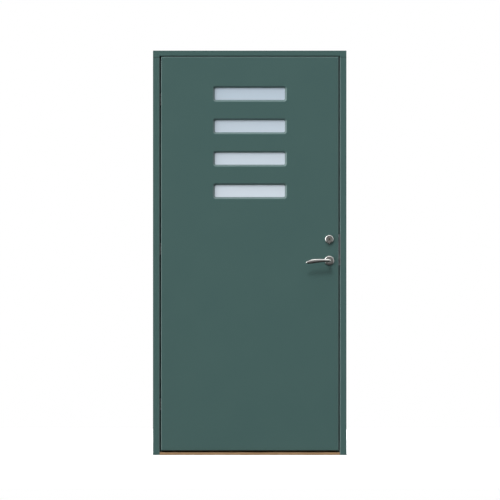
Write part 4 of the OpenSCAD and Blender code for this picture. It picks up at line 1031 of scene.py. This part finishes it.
def make_screw(length, ridges):
    """A countersunk screw along minus Z with its head's face at height zero."""
    screw = begin(bpy.ops.mesh.primitive_cylinder_add, vertices=24, radius=HEAD_R, depth=HEAD_EDGE,
                  location=(0, 0, -HEAD_EDGE / 2))
    pick(screw, lambda place, normal: normal.z < -0.9)
    # depth and radius from the head's cone to the tip; the thread takes the middle 60 percent
    stations = [(HEAD_R - SHANK_R, SHANK_R)]
    start, pitch = 0.3 * length, 0.6 * length / ridges
    for i in range(ridges):
        stations += [(start + i * pitch, 0.78 * SHANK_R), (start + (i + 0.5) * pitch, SHANK_R)]
    stations += [(0.95 * length, 0.7 * SHANK_R), (length, 0.15 * SHANK_R)]
    depth, radius = HEAD_EDGE, HEAD_R
    for down, wide in stations:
        extrude((0, 0, depth - down))
        shrink((wide / radius, wide / radius, 1), (0, 0, -down))
        depth, radius = down, wide
    close_edit(screw, 30)
    cut_cross(screw)
    bpy.ops.object.shade_smooth_by_angle(angle=math.radians(30))
    return screw


short_screw = make_screw(30 * MM, 8)
long_screw = make_screw(70 * MM, 20)
print("screws", len(short_screw.data.polygons), "and", len(long_screw.data.polygons), "faces")

# %% [markdown]
# The places are read from the CAD screws themselves. Each node is one mesh of loose triangles, so a
# copy of it is merged first. Then the edges are followed from point to point, and each group of points
# that hangs together is one screw.

# %% Find the single screws in a CAD node


def loose_boxes(node):
    """The boxes of the separate solids in a CAD node."""
    mesh = bmesh.new()
    mesh.from_mesh(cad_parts[node].data)
    bmesh.ops.remove_doubles(mesh, verts=mesh.verts, dist=DOUBLES)
    seen, boxes = set(), []
    for seed in mesh.verts:
        if seed in seen:
            continue
        seen.add(seed)
        queue, low, high = [seed], seed.co.copy(), seed.co.copy()
        while queue:
            point = queue.pop()
            low = Vector(map(min, low, point.co))
            high = Vector(map(max, high, point.co))
            for edge in point.link_edges:
                other = edge.other_vert(point)
                if other not in seen:
                    seen.add(other)
                    queue.append(other)
        boxes.append((low, high))
    mesh.free()
    return boxes


print("screws in the strike plate", len(loose_boxes("strike_screws")))

# %% [markdown]
# A screw lies along the longer side of its box, and its head looks away from the door's middle, or into
# the opening where the frame's inner faces carry it. The copy is scaled to the box, turned and moved,
# and all three are applied, so that its place ends up in its mesh like a CAD node's.

# %% Put the screws in place
# each cross is turned a little further than the last, as hands leave them
CROSS_TURN = 12


def place_screws(node, body, pattern, outward):
    """Copies a screw to each solid of a node, with its head away from the door's middle if outward."""
    boxes = sorted(loose_boxes(node), key=lambda pair: [round(v, 3) for v in pair[0].zyx])
    for number, (low, high) in enumerate(boxes, 1):
        size, centre = high - low, (low + high) / 2
        axis = 0 if size.x > size.z else 2
        away = 1 if centre[axis] > (cad_box[0][axis] + cad_box[1][axis]) / 2 else -1
        looks = away if outward else -away
        tilt = 90 * looks if axis == 0 else 90 - 90 * looks
        head = centre.copy()
        head[axis] += looks * size[axis] / 2
        twin = copy_of(pattern)
        wide, long = size.y / pattern.dimensions.y, size[axis] / pattern.dimensions.z
        bpy.ops.object.mode_set(mode="EDIT")
        bpy.ops.mesh.select_all(action="SELECT")
        bpy.ops.transform.resize(value=(wide, wide, long), center_override=(0, 0, 0))
        bpy.ops.object.mode_set(mode="OBJECT")
        twin.rotation_mode = "ZYX"
        twin.rotation_euler = (0, math.radians(tilt), math.radians(CROSS_TURN * number))
        twin.location = head
        bpy.ops.object.transform_apply(location=True, rotation=True, scale=True)
        hand_over(twin, f"{node}_{number}", zinc, "zinc", body, node)


place_screws("strike_screws", "frame", short_screw, False)
place_screws("lock_front_screws", "leaf", short_screw, True)
place_screws("frame_cup_screws", "frame", short_screw, False)
place_screws("leaf_cup_screws", "leaf", short_screw, True)
place_screws("corner_screws", "frame", long_screw, True)
bpy.data.objects.remove(short_screw)
bpy.data.objects.remove(long_screw)
